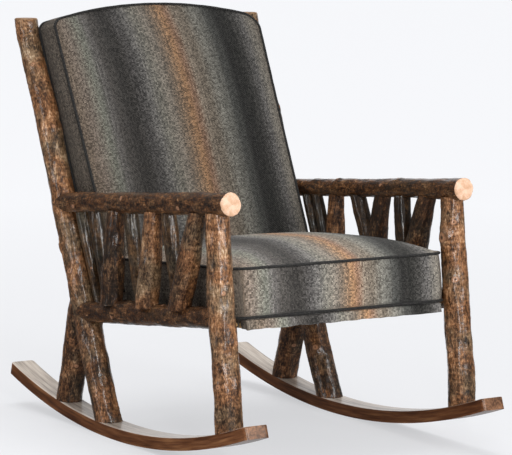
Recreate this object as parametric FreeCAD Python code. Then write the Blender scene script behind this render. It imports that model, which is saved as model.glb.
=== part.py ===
import FreeCAD, Part
import math
import os

# Hickory rocking chair in millimetres: X across (sitter's left is +X), the seat faces -Y, Z up,
# origin on the floor under the middle of the chair's bounding box.

# Rockers
rocker_radius = 1864.0
rocker_front_reach = 627.0
rocker_rear_reach = 538.0
right_rocker_front_trim = 11.0
left_rocker_rear_trim = 12.0
rocker_thickness = 29.5
rocker_width = 63.5
rocker_corner = 9.0
rocker_ease = 2.0
stance_half = 321.0

# Front posts
front_foot_y = -449.0
front_post_top_y = -404.0
front_post_diameter = 64.0
front_post_belly = 5.0

# Back posts
back_foot_y = 111.0
back_post_lower_lean = 23.2
back_post_upper_lean = 26.0
back_post_knee_height = 570.0
back_post_height = 988.0
back_post_diameter = 64.0
back_post_belly = 6.0
back_post_rim = 5.0

# Brace legs
brace_foot_y = 325.0
brace_lean = -18.0
brace_diameter = 64.0

# Arms
arm_half = 324.0
arm_height = 607.0
arm_tilt = 5.05
arm_overhang = 58.0
arm_diameter = 54.0
arm_end_round = 5.0

# Side rails
rail_height = 354.0
rail_tilt = 6.0
rail_diameter = 51.0

# Spindles: their own places are in the tables below
spindle_tenon_diameter = 15.0
spindle_tenon_length = 46.0
spindle_lap = 9.0
spindle_outer_top = 10.0
spindle_inner_top = 9.0
spindle_outer_foot = 18.0
spindle_inner_foot = 15.0
spindle_tenon_offset = 9.0

# Cross poles between the back posts
cross_pole_diameter = 36.0
cross_pole_set_back = 12.0
cross_tenon_diameter = 22.0
crest_rail_height = 884.0
lumbar_rail_height = 470.0
rear_seat_rail_height = 345.0

# Rounds in which two leaning centre lines are brought together
settling_count = 60

# Tenons and pins
tenon_diameter = 27.0
tenon_depth = 20.0
tenon_root = 16.0
tenon_gap = 0.15
pin_diameter = 5.0
pin_inset = 1.5
pin_reach_share = 0.8
brace_tenon_share = 0.8

# Rocker screws
rocker_screw_diameter = 7.0
rocker_screw_length = 88.0
rocker_screw_head = 14.0
rocker_screw_head_height = 4.5
rocker_screw_recess = 4.5

# Seat frame and deck
seat_front_y = -437.0
seat_front_height = 346.5
seat_tilt = 4.0
seat_frame_half = 268.0
seat_frame_member = 60.0
seat_frame_thickness = 16.0
seat_frame_depth = 602.0
seat_side_clearance = 4.5
frame_dowel_diameter = 9.0
frame_dowel_length = 50.0
frame_dowel_spacing = 30.0
strap_width = 50.0
strap_thickness = 1.2
strap_margin = 12.0
long_strap_count = 5
cross_strap_count = 6
deck_cloth = 1.4
deck_return = 22.0
dust_cloth = 0.8
soft_gap = 0.4
deck_screw_diameter = 4.5
deck_screw_length = 52.0
deck_screw_head = 9.0
deck_screw_head_height = 3.0
deck_screw_angle = 30.0
deck_screw_inset = 23.0
deck_screw_place_shares = (0.17, 0.42, 0.74)

# Seat cushion
cushion_half = 284.0
cushion_depth = 531.0
cushion_boxing = 115.0
cushion_bulge = 4.0
cushion_crown = 50.0
cushion_crown_inset = 190.0
cushion_corner = 26.0
cushion_front_lean = 5.0
cushion_rear_lean = 25.0
cover_thickness = 2.5
welt_diameter = 8.0
welt_stand = 2.6
zip_length = 420.0
zip_height = 7.0
zip_depth = 3.0
zip_stand = 1.0
zip_pull_length = 26.0
zip_pull_width = 8.0
zip_pull_thickness = 2.0

# Back pad
pad_foot_half = 284.0
pad_crest_half = 297.0
pad_rear_narrowing = 4.0
pad_height = 743.0
pad_rear_rise = 26.0
pad_foot_height = 352.0
pad_front_offset = 100.0
pad_crown_radius = 1030.0
pad_right_corner = 16.0
pad_left_corner = 34.0
pad_foot_corner = 17.0
pad_bulge = 6.0
pad_crown = 18.0
pad_crown_inset = 120.0
board_thickness = 12.0
board_inset = 8.0
panel_cloth = 1.2
back_screw_diameter = 5.0
back_screw_length = 46.0
back_screw_head = 10.0
back_screw_head_height = 3.5
back_screw_recess = 7.0
back_screw_spacing = 200.0
back_screw_count = 3

# Shares of each pole's diameter, from its foot to its top
front_post_girth_shares = (1.02, 1.02, 0.99, 0.97, 0.92, 0.87, 0.84)
front_post_bend_shares = (0.0, -0.6, 0.4, 1.3, 1.7, 1.6, 1.4)
back_post_girth_shares = (1.0, 1.02, 1.01, 1.0, 0.98, 0.97, 0.95, 0.94, 0.85, 0.92)
back_post_place_shares = (0.0, 0.12, 0.22, 0.34, 0.46, 0.58, 0.68, 0.78, 0.9, 1.0)
back_post_bend_shares = (0.0, 0.8, 1.0, 0.8, 0.3, 0.0, -0.8, -1.0, -0.2, -2.2)
brace_girth_shares = (0.98, 1.02, 1.02, 0.98)
arm_girth_shares = (1.0, 0.97, 0.94, 0.92, 0.88, 0.83)
rail_girth_shares = (1.02, 0.98, 1.0, 0.97, 0.96)
outer_girth_shares = (1.0, 1.02, 1.0, 0.86, 0.74)
inner_girth_shares = (0.75, 0.8, 0.9, 1.0, 0.95)
cross_pole_girth_shares = (1.0, 0.97, 1.02, 1.0)

# Crown of a cushion: how far in and how high each section of its top lies
crown_inset_shares = (0.0, 0.07, 0.2, 0.42, 0.72, 1.0)
crown_rise_shares = (0.0, 0.34, 0.65, 0.86, 0.97, 1.0)

# Spindles of each side from rear to front: where the top and the foot stand, as shares of the
# distance from front post to back post, the diameter, and which way the spindle stands off
right_spindles = (
    {"top_share": 0.914, "foot_share": 0.932, "diameter": 24.0, "outer": False},
    {"top_share": 0.814, "foot_share": 0.862, "diameter": 30.0, "outer": False},
    {"top_share": 0.629, "foot_share": 0.775, "diameter": 46.0, "outer": True},
    {"top_share": 0.56, "foot_share": 0.61, "diameter": 28.0, "outer": False},
    {"top_share": 0.383, "foot_share": 0.505, "diameter": 48.0, "outer": True},
    {"top_share": 0.317, "foot_share": 0.33, "diameter": 32.0, "outer": False},
    {"top_share": 0.103, "foot_share": 0.28, "diameter": 48.0, "outer": True},
)
left_spindles = (
    {"top_share": 0.846, "foot_share": 0.82, "diameter": 24.0, "outer": False},
    {"top_share": 0.786, "foot_share": 0.75, "diameter": 25.0, "outer": False},
    {"top_share": 0.682, "foot_share": 0.85, "diameter": 50.0, "outer": True},
    {"top_share": 0.548, "foot_share": 0.465, "diameter": 39.0, "outer": False},
    {"top_share": 0.399, "foot_share": 0.59, "diameter": 48.0, "outer": True},
    {"top_share": 0.282, "foot_share": 0.305, "diameter": 39.0, "outer": False},
    {"top_share": 0.139, "foot_share": 0.36, "diameter": 50.0, "outer": True},
)

Vector = FreeCAD.Vector
ACROSS = Vector(1, 0, 0)
parts = {}


def rise(degrees):
    """Unit vector that leans back from straight up by an angle, in the plane of a side."""
    angle = math.radians(degrees)
    return Vector(0, math.sin(angle), math.cos(angle))


def leaning(shape, y, z, degrees):
    """A shape drawn upright at the origin, leaned back about X and set down at (y, z)."""
    turn = FreeCAD.Rotation(ACROSS, -degrees)
    placed = shape.copy()
    placed.Placement = FreeCAD.Placement(Vector(0, y, z), turn).multiply(shape.Placement)
    return placed


def bar(start, end, diameter):
    """Round bar between two points."""
    return Part.makeCylinder(diameter / 2, (end - start).Length, start, end - start)


def pole(points, diameter, girth_shares):
    """Natural pole: round sections square to its general run, lofted into one smooth skin."""
    run = points[-1] - points[0]
    rings = []
    for point, share in zip(points, girth_shares):
        rings.append(Part.Wire(Part.makeCircle(diameter * share / 2, point, run)))
    return Part.makeLoft(rings, True, False)


def spread(start, end, count):
    """Evenly spaced points from start to end."""
    return [start + (end - start) * (step / (count - 1)) for step in range(count)]


def tenon(piece, start, end, diameter):
    """The piece with a round tenon that runs from inside it to the bottom of its mortise."""
    return piece.fuse(bar(start, end, diameter))


def mortise(host, start, end, diameter):
    """The host with the hole for such a tenon, a little wider so that glue has room."""
    return host.cut(bar(start, end, diameter + 2 * tenon_gap))


# Lines that the side pieces share

contact_y = (rocker_front_reach - rocker_rear_reach) / 2


def rocker_floor(y, above=0.0):
    """Height of the rocker's under-side at y, or of a curve that runs above it."""
    radius = rocker_radius - above
    return rocker_radius - math.sqrt(radius ** 2 - (y - contact_y) ** 2)


back_foot_height = rocker_floor(back_foot_y, rocker_thickness)
brace_foot_height = rocker_floor(brace_foot_y, rocker_thickness)
knee_y = back_foot_y + (back_post_knee_height - back_foot_height) * math.tan(
    math.radians(back_post_lower_lean))


def back_post_axis(height):
    """Point on a back post's centre line at a height, in the mid plane."""
    lean = back_post_lower_lean if height < back_post_knee_height else back_post_upper_lean
    return Vector(0, knee_y + (height - back_post_knee_height) * math.tan(math.radians(lean)), height)


def arm_axis(y):
    drop = (y - front_post_top_y) * math.tan(math.radians(arm_tilt))
    return Vector(0, y, arm_height - drop)


def rail_axis(y):
    drop = (y - front_foot_y) * math.tan(math.radians(rail_tilt))
    return Vector(0, y, rail_height - drop)


def meet_back_post(height, line):
    """The y where the back post's centre line crosses an arm's or a rail's centre line."""
    for _ in range(settling_count):
        height = line(back_post_axis(height).y).z
    return back_post_axis(height).y


arm_rear_y = meet_back_post(back_post_knee_height, arm_axis)
rail_rear_y = meet_back_post(rail_height, rail_axis)
front_foot_z = rocker_floor(front_foot_y, rocker_thickness / 2)
front_post_run = Vector(0, front_post_top_y - front_foot_y, arm_height - front_foot_z)
rail_front_y = front_foot_y + front_post_run.y * (rail_height - front_foot_z) / front_post_run.z

# The seat's own frame: Y runs back along the seat, Z stands square to it


def on_seat(shape):
    return leaning(shape, seat_front_y, seat_front_height, seat_tilt)


deck_top = -soft_gap
strap_floor = deck_top - deck_cloth - 2 * strap_thickness
frame_floor = strap_floor - seat_frame_thickness
frame_middle = strap_floor - seat_frame_thickness / 2

# The back pad's own frame: Z runs up along the upper back posts, -Y stands out to the front

def back_line(height):
    """Point on the upper posts' straight centre line, also where it is drawn on below the knee."""
    run = (height - back_post_knee_height) / math.cos(math.radians(back_post_upper_lean))
    return back_post_axis(back_post_knee_height) + rise(back_post_upper_lean) * run


pad_base = back_line(
    pad_foot_height - pad_front_offset * math.sin(math.radians(back_post_upper_lean)))


def on_back(shape):
    return leaning(shape, pad_base.y, pad_base.z, back_post_upper_lean)


def along_back(height):
    """Distance along the back, from the pad's foot, of a height on the post's centre line."""
    return (height - pad_base.z) / math.cos(math.radians(back_post_upper_lean))


# Rockers


def rocker_profile(below, above, front_trim=0.0, rear_trim=0.0):
    """Side outline between two arcs about the rocker's centre, with ends square to them."""
    centre = Vector(0, contact_y, rocker_radius)
    front = math.asin((rocker_front_reach - front_trim) / rocker_radius)
    rear = math.asin((rocker_rear_reach - rear_trim) / rocker_radius)

    def spot(radius, angle):
        return centre + Vector(0, math.sin(angle), -math.cos(angle)) * radius

    outer = rocker_radius + below
    inner = rocker_radius - above
    under = Part.Arc(spot(outer, -front), spot(outer, 0), spot(outer, rear)).toShape()
    over = Part.Arc(spot(inner, rear), spot(inner, 0), spot(inner, -front)).toShape()
    nose = Part.makeLine(spot(inner, -front), spot(outer, -front))
    heel = Part.makeLine(spot(outer, rear), spot(inner, rear))
    return Part.Face(Part.Wire([under, heel, over, nose]))


def rocker_blank(x):
    """Bent strip with rounded nose and heel corners and eased top edges."""
    front_trim = right_rocker_front_trim if x < 0 else 0
    rear_trim = left_rocker_rear_trim if x > 0 else 0
    body = rocker_profile(0, rocker_thickness, front_trim, rear_trim).extrude(ACROSS * rocker_width)
    body.translate(ACROSS * (x - rocker_width / 2))
    corners = [edge for edge in body.Edges if edge.Length < rocker_width
               and abs(edge.tangentAt(edge.FirstParameter).x) < 1 / 2]
    body = body.makeFillet(rocker_corner, corners)
    top = [edge for edge in body.Edges if edge.Length > rocker_radius / 4
           and edge.CenterOfMass.z > rocker_floor(edge.CenterOfMass.y)
           and edge.BoundBox.ZMin > rocker_thickness / 2]
    return body.makeFillet(rocker_ease, top)


def rocker_space(x):
    """Where no leg may reach: the rocker's thickness, wider than any foot."""
    body = rocker_profile(rocker_thickness, rocker_thickness).extrude(ACROSS * rocker_width * 2)
    body.translate(ACROSS * (x - rocker_width))
    return body


# One side: posts, brace, arm, rail and spindles, seated in each other


def front_post_points(x):
    points = spread(Vector(0, front_foot_y, front_foot_z),
                    Vector(0, front_post_top_y, arm_height), len(front_post_girth_shares))
    bent = []
    for step, (point, bend) in enumerate(zip(points, front_post_bend_shares)):
        splay = (arm_half - stance_half) * step / (len(points) - 1)
        bent.append(point + Vector(math.copysign(stance_half + splay, x), bend * front_post_belly, 0))
    return bent


def back_post_points(x):
    low = rocker_floor(back_foot_y, rocker_thickness / 2)
    bent = []
    for share, bend in zip(back_post_place_shares, back_post_bend_shares):
        height = low + (back_post_height + back_post_diameter / 2 - low) * share
        point = back_post_axis(height)
        splay = (arm_half - stance_half) * share
        bent.append(point + Vector(math.copysign(stance_half + splay, x), bend * back_post_belly, 0))
    return bent


def brace_points(x):
    low = rocker_floor(brace_foot_y, rocker_thickness / 2)
    lean = math.tan(math.radians(brace_lean))
    post = math.tan(math.radians(back_post_lower_lean))
    foot = Vector(x, brace_foot_y + (low - brace_foot_height) * lean, low)
    reach = brace_foot_y - back_foot_y - brace_foot_height * lean + back_foot_height * post
    top = Vector(x, back_post_axis(reach / (post - lean)).y, reach / (post - lean))
    return spread(foot, top, len(brace_girth_shares))


def leg_joint(leg, rocker, points, screws):
    """Seats a leg on the rocker with a round tenon and a screw from below."""
    foot = points[0]
    up = (points[2] - foot).normalize()
    surface = foot + up * (rocker_thickness / 2 / up.z)
    bottom = surface - up * tenon_depth
    leg = tenon(leg, bottom, surface + up * tenon_root, tenon_diameter)
    rocker = mortise(rocker, bottom, surface + up * tenon_root, tenon_diameter)
    under = foot - up * (rocker_thickness / 2 / up.z)
    seat = under + up * rocker_screw_recess
    head = bar(seat, seat + up * rocker_screw_head_height, rocker_screw_head)
    shank = bar(seat + up * rocker_screw_head_height, seat + up * rocker_screw_length,
                rocker_screw_diameter)
    bore = bar(under - up * rocker_screw_recess, seat + up * rocker_screw_head_height,
               rocker_screw_head)
    screws.append(head.fuse(shank))
    return leg.cut(shank), rocker.cut(bore).cut(shank)


def cross_pin(pieces, centre, reach, pins):
    """A pin across a joint along X; its hole goes through every piece it meets."""
    start = centre - ACROSS * (reach - pin_inset)
    end = centre + ACROSS * (reach - pin_inset)
    pin = bar(start, end, pin_diameter)
    pins.append(pin)
    return [piece.cut(pin) for piece in pieces]


def side_frame(x):
    """Posts, brace leg, arm and side rail of one side, with rocker, screws and pins."""
    screws = []
    pins = []
    rocker = rocker_blank(x)
    space = rocker_space(x)
    arm_x = math.copysign(arm_half, x)
    arm_start = arm_axis(front_post_top_y - arm_overhang) + ACROSS * arm_x
    arm_end = arm_axis(arm_rear_y) + ACROSS * arm_x
    arm_run = (arm_end - arm_start).normalize()
    arm_body = pole(spread(arm_start + arm_run * arm_end_round, arm_end, len(arm_girth_shares)),
                    arm_diameter, arm_girth_shares)
    front_cap = Part.makeCone(arm_diameter / 2 - arm_end_round, arm_diameter / 2, arm_end_round,
                              arm_start, arm_run)
    arm_body = arm_body.fuse(front_cap)
    rail_start = rail_axis(rail_front_y) + ACROSS * x
    rail_end = rail_axis(rail_rear_y) + ACROSS * x
    rail_run = (rail_end - rail_start).normalize()
    rail_body = pole(spread(rail_start, rail_end, len(rail_girth_shares)), rail_diameter,
                     rail_girth_shares)

    front_points = front_post_points(x)
    back_points = back_post_points(x)
    front_post = pole(front_points, front_post_diameter, front_post_girth_shares)
    back_post = pole(back_points, back_post_diameter, back_post_girth_shares)
    ceiling = Part.makeBox(back_post_diameter * 4, back_post_diameter * 4, back_post_diameter * 2)
    ceiling.translate(Vector(x - back_post_diameter * 2,
                             back_post_axis(back_post_height).y - back_post_diameter * 2,
                             back_post_height))
    back_post = back_post.cut(ceiling).cut(space)
    rim = [edge for edge in back_post.Edges if edge.BoundBox.ZMin > back_post_height - pin_inset]
    back_post = back_post.makeFillet(back_post_rim, rim)
    brace_line = brace_points(x)
    brace = pole(brace_line, brace_diameter, brace_girth_shares).cut(space).cut(back_post)

    front_post = front_post.cut(space).cut(arm_body)
    arm_body = arm_body.cut(back_post)
    rail_body = rail_body.cut(front_post).cut(back_post)

    front_post, rocker = leg_joint(front_post, rocker, front_points, screws)
    back_post, rocker = leg_joint(back_post, rocker, back_points, screws)
    brace, rocker = leg_joint(brace, rocker, brace_line, screws)

    post_up = front_post_run.normalize()
    post_top = front_points[-1]
    arm_radius = arm_diameter * arm_girth_shares[1] / 2
    below = post_top - post_up * (arm_radius + tenon_root)
    front_post = tenon(front_post, below, post_top, tenon_diameter)
    arm_body = mortise(arm_body, below, post_top, tenon_diameter)
    arm_body, front_post = cross_pin([arm_body, front_post], post_top - post_up * arm_radius / 2,
                                     arm_radius * pin_reach_share, pins)

    front_radius = front_post_diameter * front_post_girth_shares[3] / 2
    inside = rail_start + rail_run * (front_radius + tenon_root)
    hidden = rail_start + rail_run * (front_radius - tenon_depth)
    rail_body = tenon(rail_body, hidden, inside, tenon_diameter)
    front_post = mortise(front_post, hidden, inside, tenon_diameter)
    rail_body, front_post = cross_pin([rail_body, front_post], hidden + rail_run * tenon_depth / 2,
                                      front_radius * pin_reach_share, pins)

    back_radius = back_post_diameter * back_post_girth_shares[3] / 2
    inside = rail_end - rail_run * (back_radius + tenon_root)
    hidden = rail_end - rail_run * (back_radius - tenon_depth)
    rail_body = tenon(rail_body, hidden, inside, tenon_diameter)
    back_post = mortise(back_post, hidden, inside, tenon_diameter)
    rail_body, back_post = cross_pin([rail_body, back_post], hidden - rail_run * tenon_depth / 2,
                                     back_radius * pin_reach_share, pins)

    inside = arm_end - arm_run * (back_radius + tenon_root)
    hidden = arm_end - arm_run * (back_radius - tenon_depth)
    arm_body = tenon(arm_body, hidden, inside, tenon_diameter)
    back_post = mortise(back_post, hidden, inside, tenon_diameter)
    arm_body, back_post = cross_pin([arm_body, back_post], hidden - arm_run * tenon_depth / 2,
                                    back_radius * pin_reach_share, pins)

    brace_up = (brace_line[-1] - brace_line[0]).normalize()
    hidden = brace_line[-1] - brace_up * tenon_depth
    inside = brace_line[-1] - brace_up * (back_radius * 2 + tenon_root)
    brace = tenon(brace, inside, hidden, tenon_diameter * brace_tenon_share)
    back_post = mortise(back_post, inside, hidden, tenon_diameter * brace_tenon_share)
    brace, back_post = cross_pin([brace, back_post], hidden - brace_up * tenon_depth / 2,
                                 back_radius * pin_reach_share, pins)

    return {"rocker": rocker, "front_post": front_post, "back_post": back_post, "brace_leg": brace,
            "arm": arm_body, "side_rail": rail_body, "rocker_screws": Part.makeCompound(screws),
            "joint_pins": Part.makeCompound(pins)}


def spindle_line(row, x):
    """Centre line of one spindle, from its foot on the rail to its head under the arm."""
    out = math.copysign(1.0, x) if row["outer"] else -math.copysign(1.0, x)
    top_off = spindle_outer_top if row["outer"] else spindle_inner_top
    foot_off = spindle_outer_foot if row["outer"] else spindle_inner_foot
    top_y = front_post_top_y + (arm_rear_y - front_post_top_y) * row["top_share"]
    foot_y = rail_front_y + (rail_rear_y - rail_front_y) * row["foot_share"]
    top = arm_axis(top_y) + ACROSS * (math.copysign(arm_half, x) + out * top_off)
    foot = rail_axis(foot_y) + ACROSS * (x + out * foot_off)
    top_pin = arm_axis(top_y) + ACROSS * (math.copysign(arm_half, x) + out * top_off / 2)
    foot_pin = rail_axis(foot_y) + ACROSS * (x + out * spindle_tenon_offset)
    return foot, top, foot_pin, top_pin


def spindles(rows, x, side, frame):
    """The spindles of one side, coped to rail and arm, each with a round tenon at both ends.

    The outer ones are set first; an inner one is notched where it crosses an outer one."""
    arm_solid = frame["arm"]
    rail_solid = frame["side_rail"]
    placed = []
    for number, row in sorted(enumerate(rows, 1), key=lambda pair: not pair[1]["outer"]):
        foot, top, foot_pin, top_pin = spindle_line(row, x)
        up = (top - foot).normalize()
        shares = outer_girth_shares if row["outer"] else inner_girth_shares
        body = pole(spread(foot + up * spindle_lap, top - up * spindle_lap, len(shares)),
                    row["diameter"], shares)
        body = body.cut(frame["arm"]).cut(frame["side_rail"])
        body = tenon(body, foot_pin, foot + up * spindle_tenon_length, spindle_tenon_diameter)
        body = tenon(body, top_pin, top - up * spindle_tenon_length, spindle_tenon_diameter)
        rail_solid = mortise(rail_solid, foot_pin, foot + up * spindle_tenon_length,
                             spindle_tenon_diameter)
        arm_solid = mortise(arm_solid, top_pin, top - up * spindle_tenon_length,
                            spindle_tenon_diameter)
        for other in placed:
            body = body.cut(other)
        placed.append(body)
        parts["spindle_{}_{}".format(side, number)] = body
    frame["arm"] = arm_solid
    frame["side_rail"] = rail_solid


right_frame = side_frame(-stance_half)
left_frame = side_frame(stance_half)
spindles(right_spindles, -stance_half, "right", right_frame)
spindles(left_spindles, stance_half, "left", left_frame)

# Cross poles between the back posts


def cross_pole(axis_point):
    """Round pole from one back post to the other, tenoned into both."""
    half = arm_half - (arm_half - stance_half) * (1 - axis_point.z / back_post_height)
    ends = spread(axis_point - ACROSS * half, axis_point + ACROSS * half,
                  len(cross_pole_girth_shares))
    body = pole(ends, cross_pole_diameter, cross_pole_girth_shares)
    reach = half - back_post_diameter / 2 + tenon_depth
    for frame, way in ((right_frame, -1), (left_frame, 1)):
        body = body.cut(frame["back_post"])
        inside = axis_point + ACROSS * way * (half - back_post_diameter / 2 - tenon_root)
        end = axis_point + ACROSS * way * reach
        body = tenon(body, inside, end, cross_tenon_diameter)
        frame["back_post"] = mortise(frame["back_post"], inside, end, cross_tenon_diameter)
    return body


behind_back = Vector(0, math.cos(math.radians(back_post_upper_lean)),
                     -math.sin(math.radians(back_post_upper_lean))) * cross_pole_set_back
parts["crest_rail"] = cross_pole(back_line(crest_rail_height) + behind_back)
parts["lumbar_rail"] = cross_pole(back_line(lumbar_rail_height) + behind_back)
parts["rear_seat_rail"] = cross_pole(back_post_axis(rear_seat_rail_height))

# Seat frame, webbing and deck, drawn level and then laid on the seat's slope


def block(x_low, x_high, depth_low, depth_high, low, high):
    return Part.makeBox(x_high - x_low, depth_high - depth_low, high - low,
                        Vector(x_low, depth_low, low))


side_member_outer = stance_half - rail_diameter / 2 - seat_side_clearance
side_member_inner = side_member_outer - seat_frame_member
front_member = block(-seat_frame_half, seat_frame_half, 0, seat_frame_member,
                     frame_floor, strap_floor)
rear_member = block(-seat_frame_half, seat_frame_half, seat_frame_depth - seat_frame_member,
                    seat_frame_depth, frame_floor, strap_floor)
dowels = []
for way in (-1, 1):
    for depth in (seat_frame_member, seat_frame_depth - seat_frame_member):
        for step in (-1, 1):
            x = way * (side_member_inner + side_member_outer) / 2 + step * frame_dowel_spacing / 2
            dowels.append(bar(Vector(x, depth - frame_dowel_length / 2, frame_middle),
                              Vector(x, depth + frame_dowel_length / 2, frame_middle),
                              frame_dowel_diameter))
dowel_group = Part.makeCompound(dowels)
deck_screws = {-1: [], 1: []}
side_members = {}
for way in (-1, 1):
    low, high = sorted((way * side_member_inner, way * side_member_outer))
    member = block(low, high, seat_frame_member, seat_frame_depth - seat_frame_member,
                   frame_floor, strap_floor)
    angle = math.radians(deck_screw_angle)
    aim = Vector(way * math.cos(angle), 0, math.sin(angle))
    for share in deck_screw_place_shares:
        head = Vector(way * (side_member_outer - deck_screw_inset), seat_frame_depth * share,
                      frame_floor + deck_screw_head_height)
        screw = bar(head, head + aim * deck_screw_head_height, deck_screw_head).fuse(
            bar(head, head + aim * deck_screw_length, deck_screw_diameter))
        pocket = bar(head - aim * deck_screw_length / 2, head + aim * deck_screw_head_height,
                     deck_screw_head)
        member = member.cut(pocket).cut(screw)
        deck_screws[way].append(on_seat(screw))
    side_members[way] = member.cut(dowel_group)
parts["seat_frame_front"] = on_seat(front_member.cut(dowel_group))
parts["seat_frame_rear"] = on_seat(rear_member.cut(dowel_group))
parts["seat_frame_right"] = on_seat(side_members[-1])
parts["seat_frame_left"] = on_seat(side_members[1])
parts["seat_frame_dowels"] = on_seat(dowel_group)
for way, frame, name in ((-1, right_frame, "deck_screws_right"), (1, left_frame, "deck_screws_left")):
    screws = Part.makeCompound(deck_screws[way])
    frame["side_rail"] = frame["side_rail"].cut(screws)
    parts[name] = screws

long_straps = []
long_pitch = 2 * (side_member_inner - strap_margin) / long_strap_count
for step in range(long_strap_count):
    centre = (step - (long_strap_count - 1) / 2) * long_pitch
    long_straps.append(block(centre - strap_width / 2, centre + strap_width / 2, strap_margin,
                             seat_frame_depth - strap_margin, strap_floor, strap_floor + strap_thickness))
cross_straps = []
cross_pitch = (seat_frame_depth - 2 * seat_frame_member) / cross_strap_count
for step in range(cross_strap_count):
    centre = seat_frame_member + (step + 1 / 2) * cross_pitch
    cross_straps.append(block(strap_margin - seat_frame_half, seat_frame_half - strap_margin,
                              centre - strap_width / 2, centre + strap_width / 2,
                              strap_floor + strap_thickness, strap_floor + 2 * strap_thickness))
parts["webbing_lengthwise"] = on_seat(Part.makeCompound(long_straps))
parts["webbing_crosswise"] = on_seat(Part.makeCompound(cross_straps))

deck_sheet = block(-seat_frame_half, seat_frame_half, -deck_cloth, seat_frame_depth,
                   deck_top - deck_cloth, deck_top)
deck_flap = block(-seat_frame_half, seat_frame_half, -deck_cloth, 0,
                  frame_floor - deck_cloth, deck_top)
deck_hem = block(-seat_frame_half, seat_frame_half, -deck_cloth, deck_return,
                 frame_floor - deck_cloth, frame_floor)
parts["deck_cover"] = on_seat(deck_sheet.fuse([deck_flap, deck_hem]).removeSplitter())
dust_sheet = block(-side_member_inner, side_member_inner, deck_return, seat_frame_depth - strap_margin,
                   frame_floor - dust_cloth, frame_floor)
parts["dust_cover"] = on_seat(dust_sheet)

# Seat cushion: cover, foam, welts and zip, drawn level like the deck


def rounded_outline(half, near, far, corner, height):
    """Closed outline of a cushion seen from above, with round corners, at one height."""
    bow = corner * (1 - math.sqrt(1 / 2))
    edges = [Part.makeLine(Vector(-half + corner, near, height), Vector(half - corner, near, height))]
    edges.append(Part.Arc(Vector(half - corner, near, height), Vector(half - bow, near + bow, height),
                          Vector(half, near + corner, height)).toShape())
    edges.append(Part.makeLine(Vector(half, near + corner, height), Vector(half, far - corner, height)))
    edges.append(Part.Arc(Vector(half, far - corner, height), Vector(half - bow, far - bow, height),
                          Vector(half - corner, far, height)).toShape())
    edges.append(Part.makeLine(Vector(half - corner, far, height), Vector(-half + corner, far, height)))
    edges.append(Part.Arc(Vector(-half + corner, far, height), Vector(-half + bow, far - bow, height),
                          Vector(-half, far - corner, height)).toShape())
    edges.append(Part.makeLine(Vector(-half, far - corner, height), Vector(-half, near + corner, height)))
    edges.append(Part.Arc(Vector(-half, near + corner, height), Vector(-half + bow, near + bow, height),
                          Vector(-half + corner, near, height)).toShape())
    return Part.Wire(edges)


def cushion_ring(height, inset, round_more=0.0):
    """Outline of the cushion at a height; its front and rear faces lean back with the height."""
    share = min(height, cushion_boxing) / cushion_boxing
    near = cushion_front_lean * share + inset
    far = cushion_depth + cushion_rear_lean * share - inset
    return rounded_outline(cushion_half - inset, near, far, cushion_corner + round_more, height)


def cushion_solid(shrink):
    """Boxing that bulges between its seams, with the crowned top; shrink makes the foam's size."""
    low = shrink
    high = cushion_boxing - shrink / 2
    boxing = Part.makeLoft([cushion_ring(low, shrink),
                            cushion_ring((low + high) / 2, shrink - cushion_bulge),
                            cushion_ring(high, shrink)], True, False)
    rings = []
    for inset, lift in zip(crown_inset_shares, crown_rise_shares):
        rings.append(cushion_ring(high + lift * (cushion_crown - shrink),
                                  shrink + inset * cushion_crown_inset, inset * cushion_corner))
    crown = Part.makeLoft(rings, True, False)
    return boxing.fuse(crown)


def welt_loop(path, start, along):
    """Piping cord round a closed outline."""
    ring = Part.Wire(Part.makeCircle(welt_diameter / 2, start, along))
    return path.makePipeShell([ring], True, False)


def cushion_welt(height):
    path = cushion_ring(height, -welt_stand)
    share = height / cushion_boxing
    start = Vector(-cushion_half + cushion_corner, cushion_front_lean * share - welt_stand, height)
    return welt_loop(path, start, ACROSS)


lower_welt = cushion_welt(welt_diameter / 2)
upper_welt = cushion_welt(cushion_boxing)
zip_middle = cushion_boxing / 2
zip_rear = cushion_depth + cushion_rear_lean / 2 + cushion_bulge
zip_body = block(-zip_length / 2, zip_length / 2, zip_rear + zip_stand - zip_depth,
                 zip_rear + zip_stand, zip_middle - zip_height / 2, zip_middle + zip_height / 2)
zip_pull = block(zip_length / 2 - zip_pull_length, zip_length / 2, zip_rear + zip_stand,
                 zip_rear + zip_stand + zip_pull_thickness, zip_middle - zip_pull_width / 2,
                 zip_middle + zip_pull_width / 2)
zip_solid = zip_body.fuse(zip_pull)
foam = cushion_solid(cover_thickness)
cover = cushion_solid(0.0).cut(foam).cut(lower_welt).cut(upper_welt).cut(zip_solid)
foam = foam.cut(zip_solid)
parts["seat_cover"] = on_seat(cover)
parts["seat_foam"] = on_seat(foam)
parts["seat_welt_upper"] = on_seat(upper_welt)
parts["seat_welt_lower"] = on_seat(lower_welt)
parts["seat_zip"] = on_seat(zip_solid)

# Back pad, drawn upright: X across, Z up along the back, -Y to the front


panel_offset = cross_pole_diameter / 2 * max(cross_pole_girth_shares) - cross_pole_set_back + soft_gap
board_offset = panel_offset + panel_cloth
foam_offset = board_offset + board_thickness
pad_side_angle = math.atan((pad_crest_half - pad_foot_half) / pad_height)
pad_side = Vector(math.sin(pad_side_angle), 0, math.cos(pad_side_angle))
pad_side_normal = Vector(math.cos(pad_side_angle), 0, -math.sin(pad_side_angle))


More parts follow.
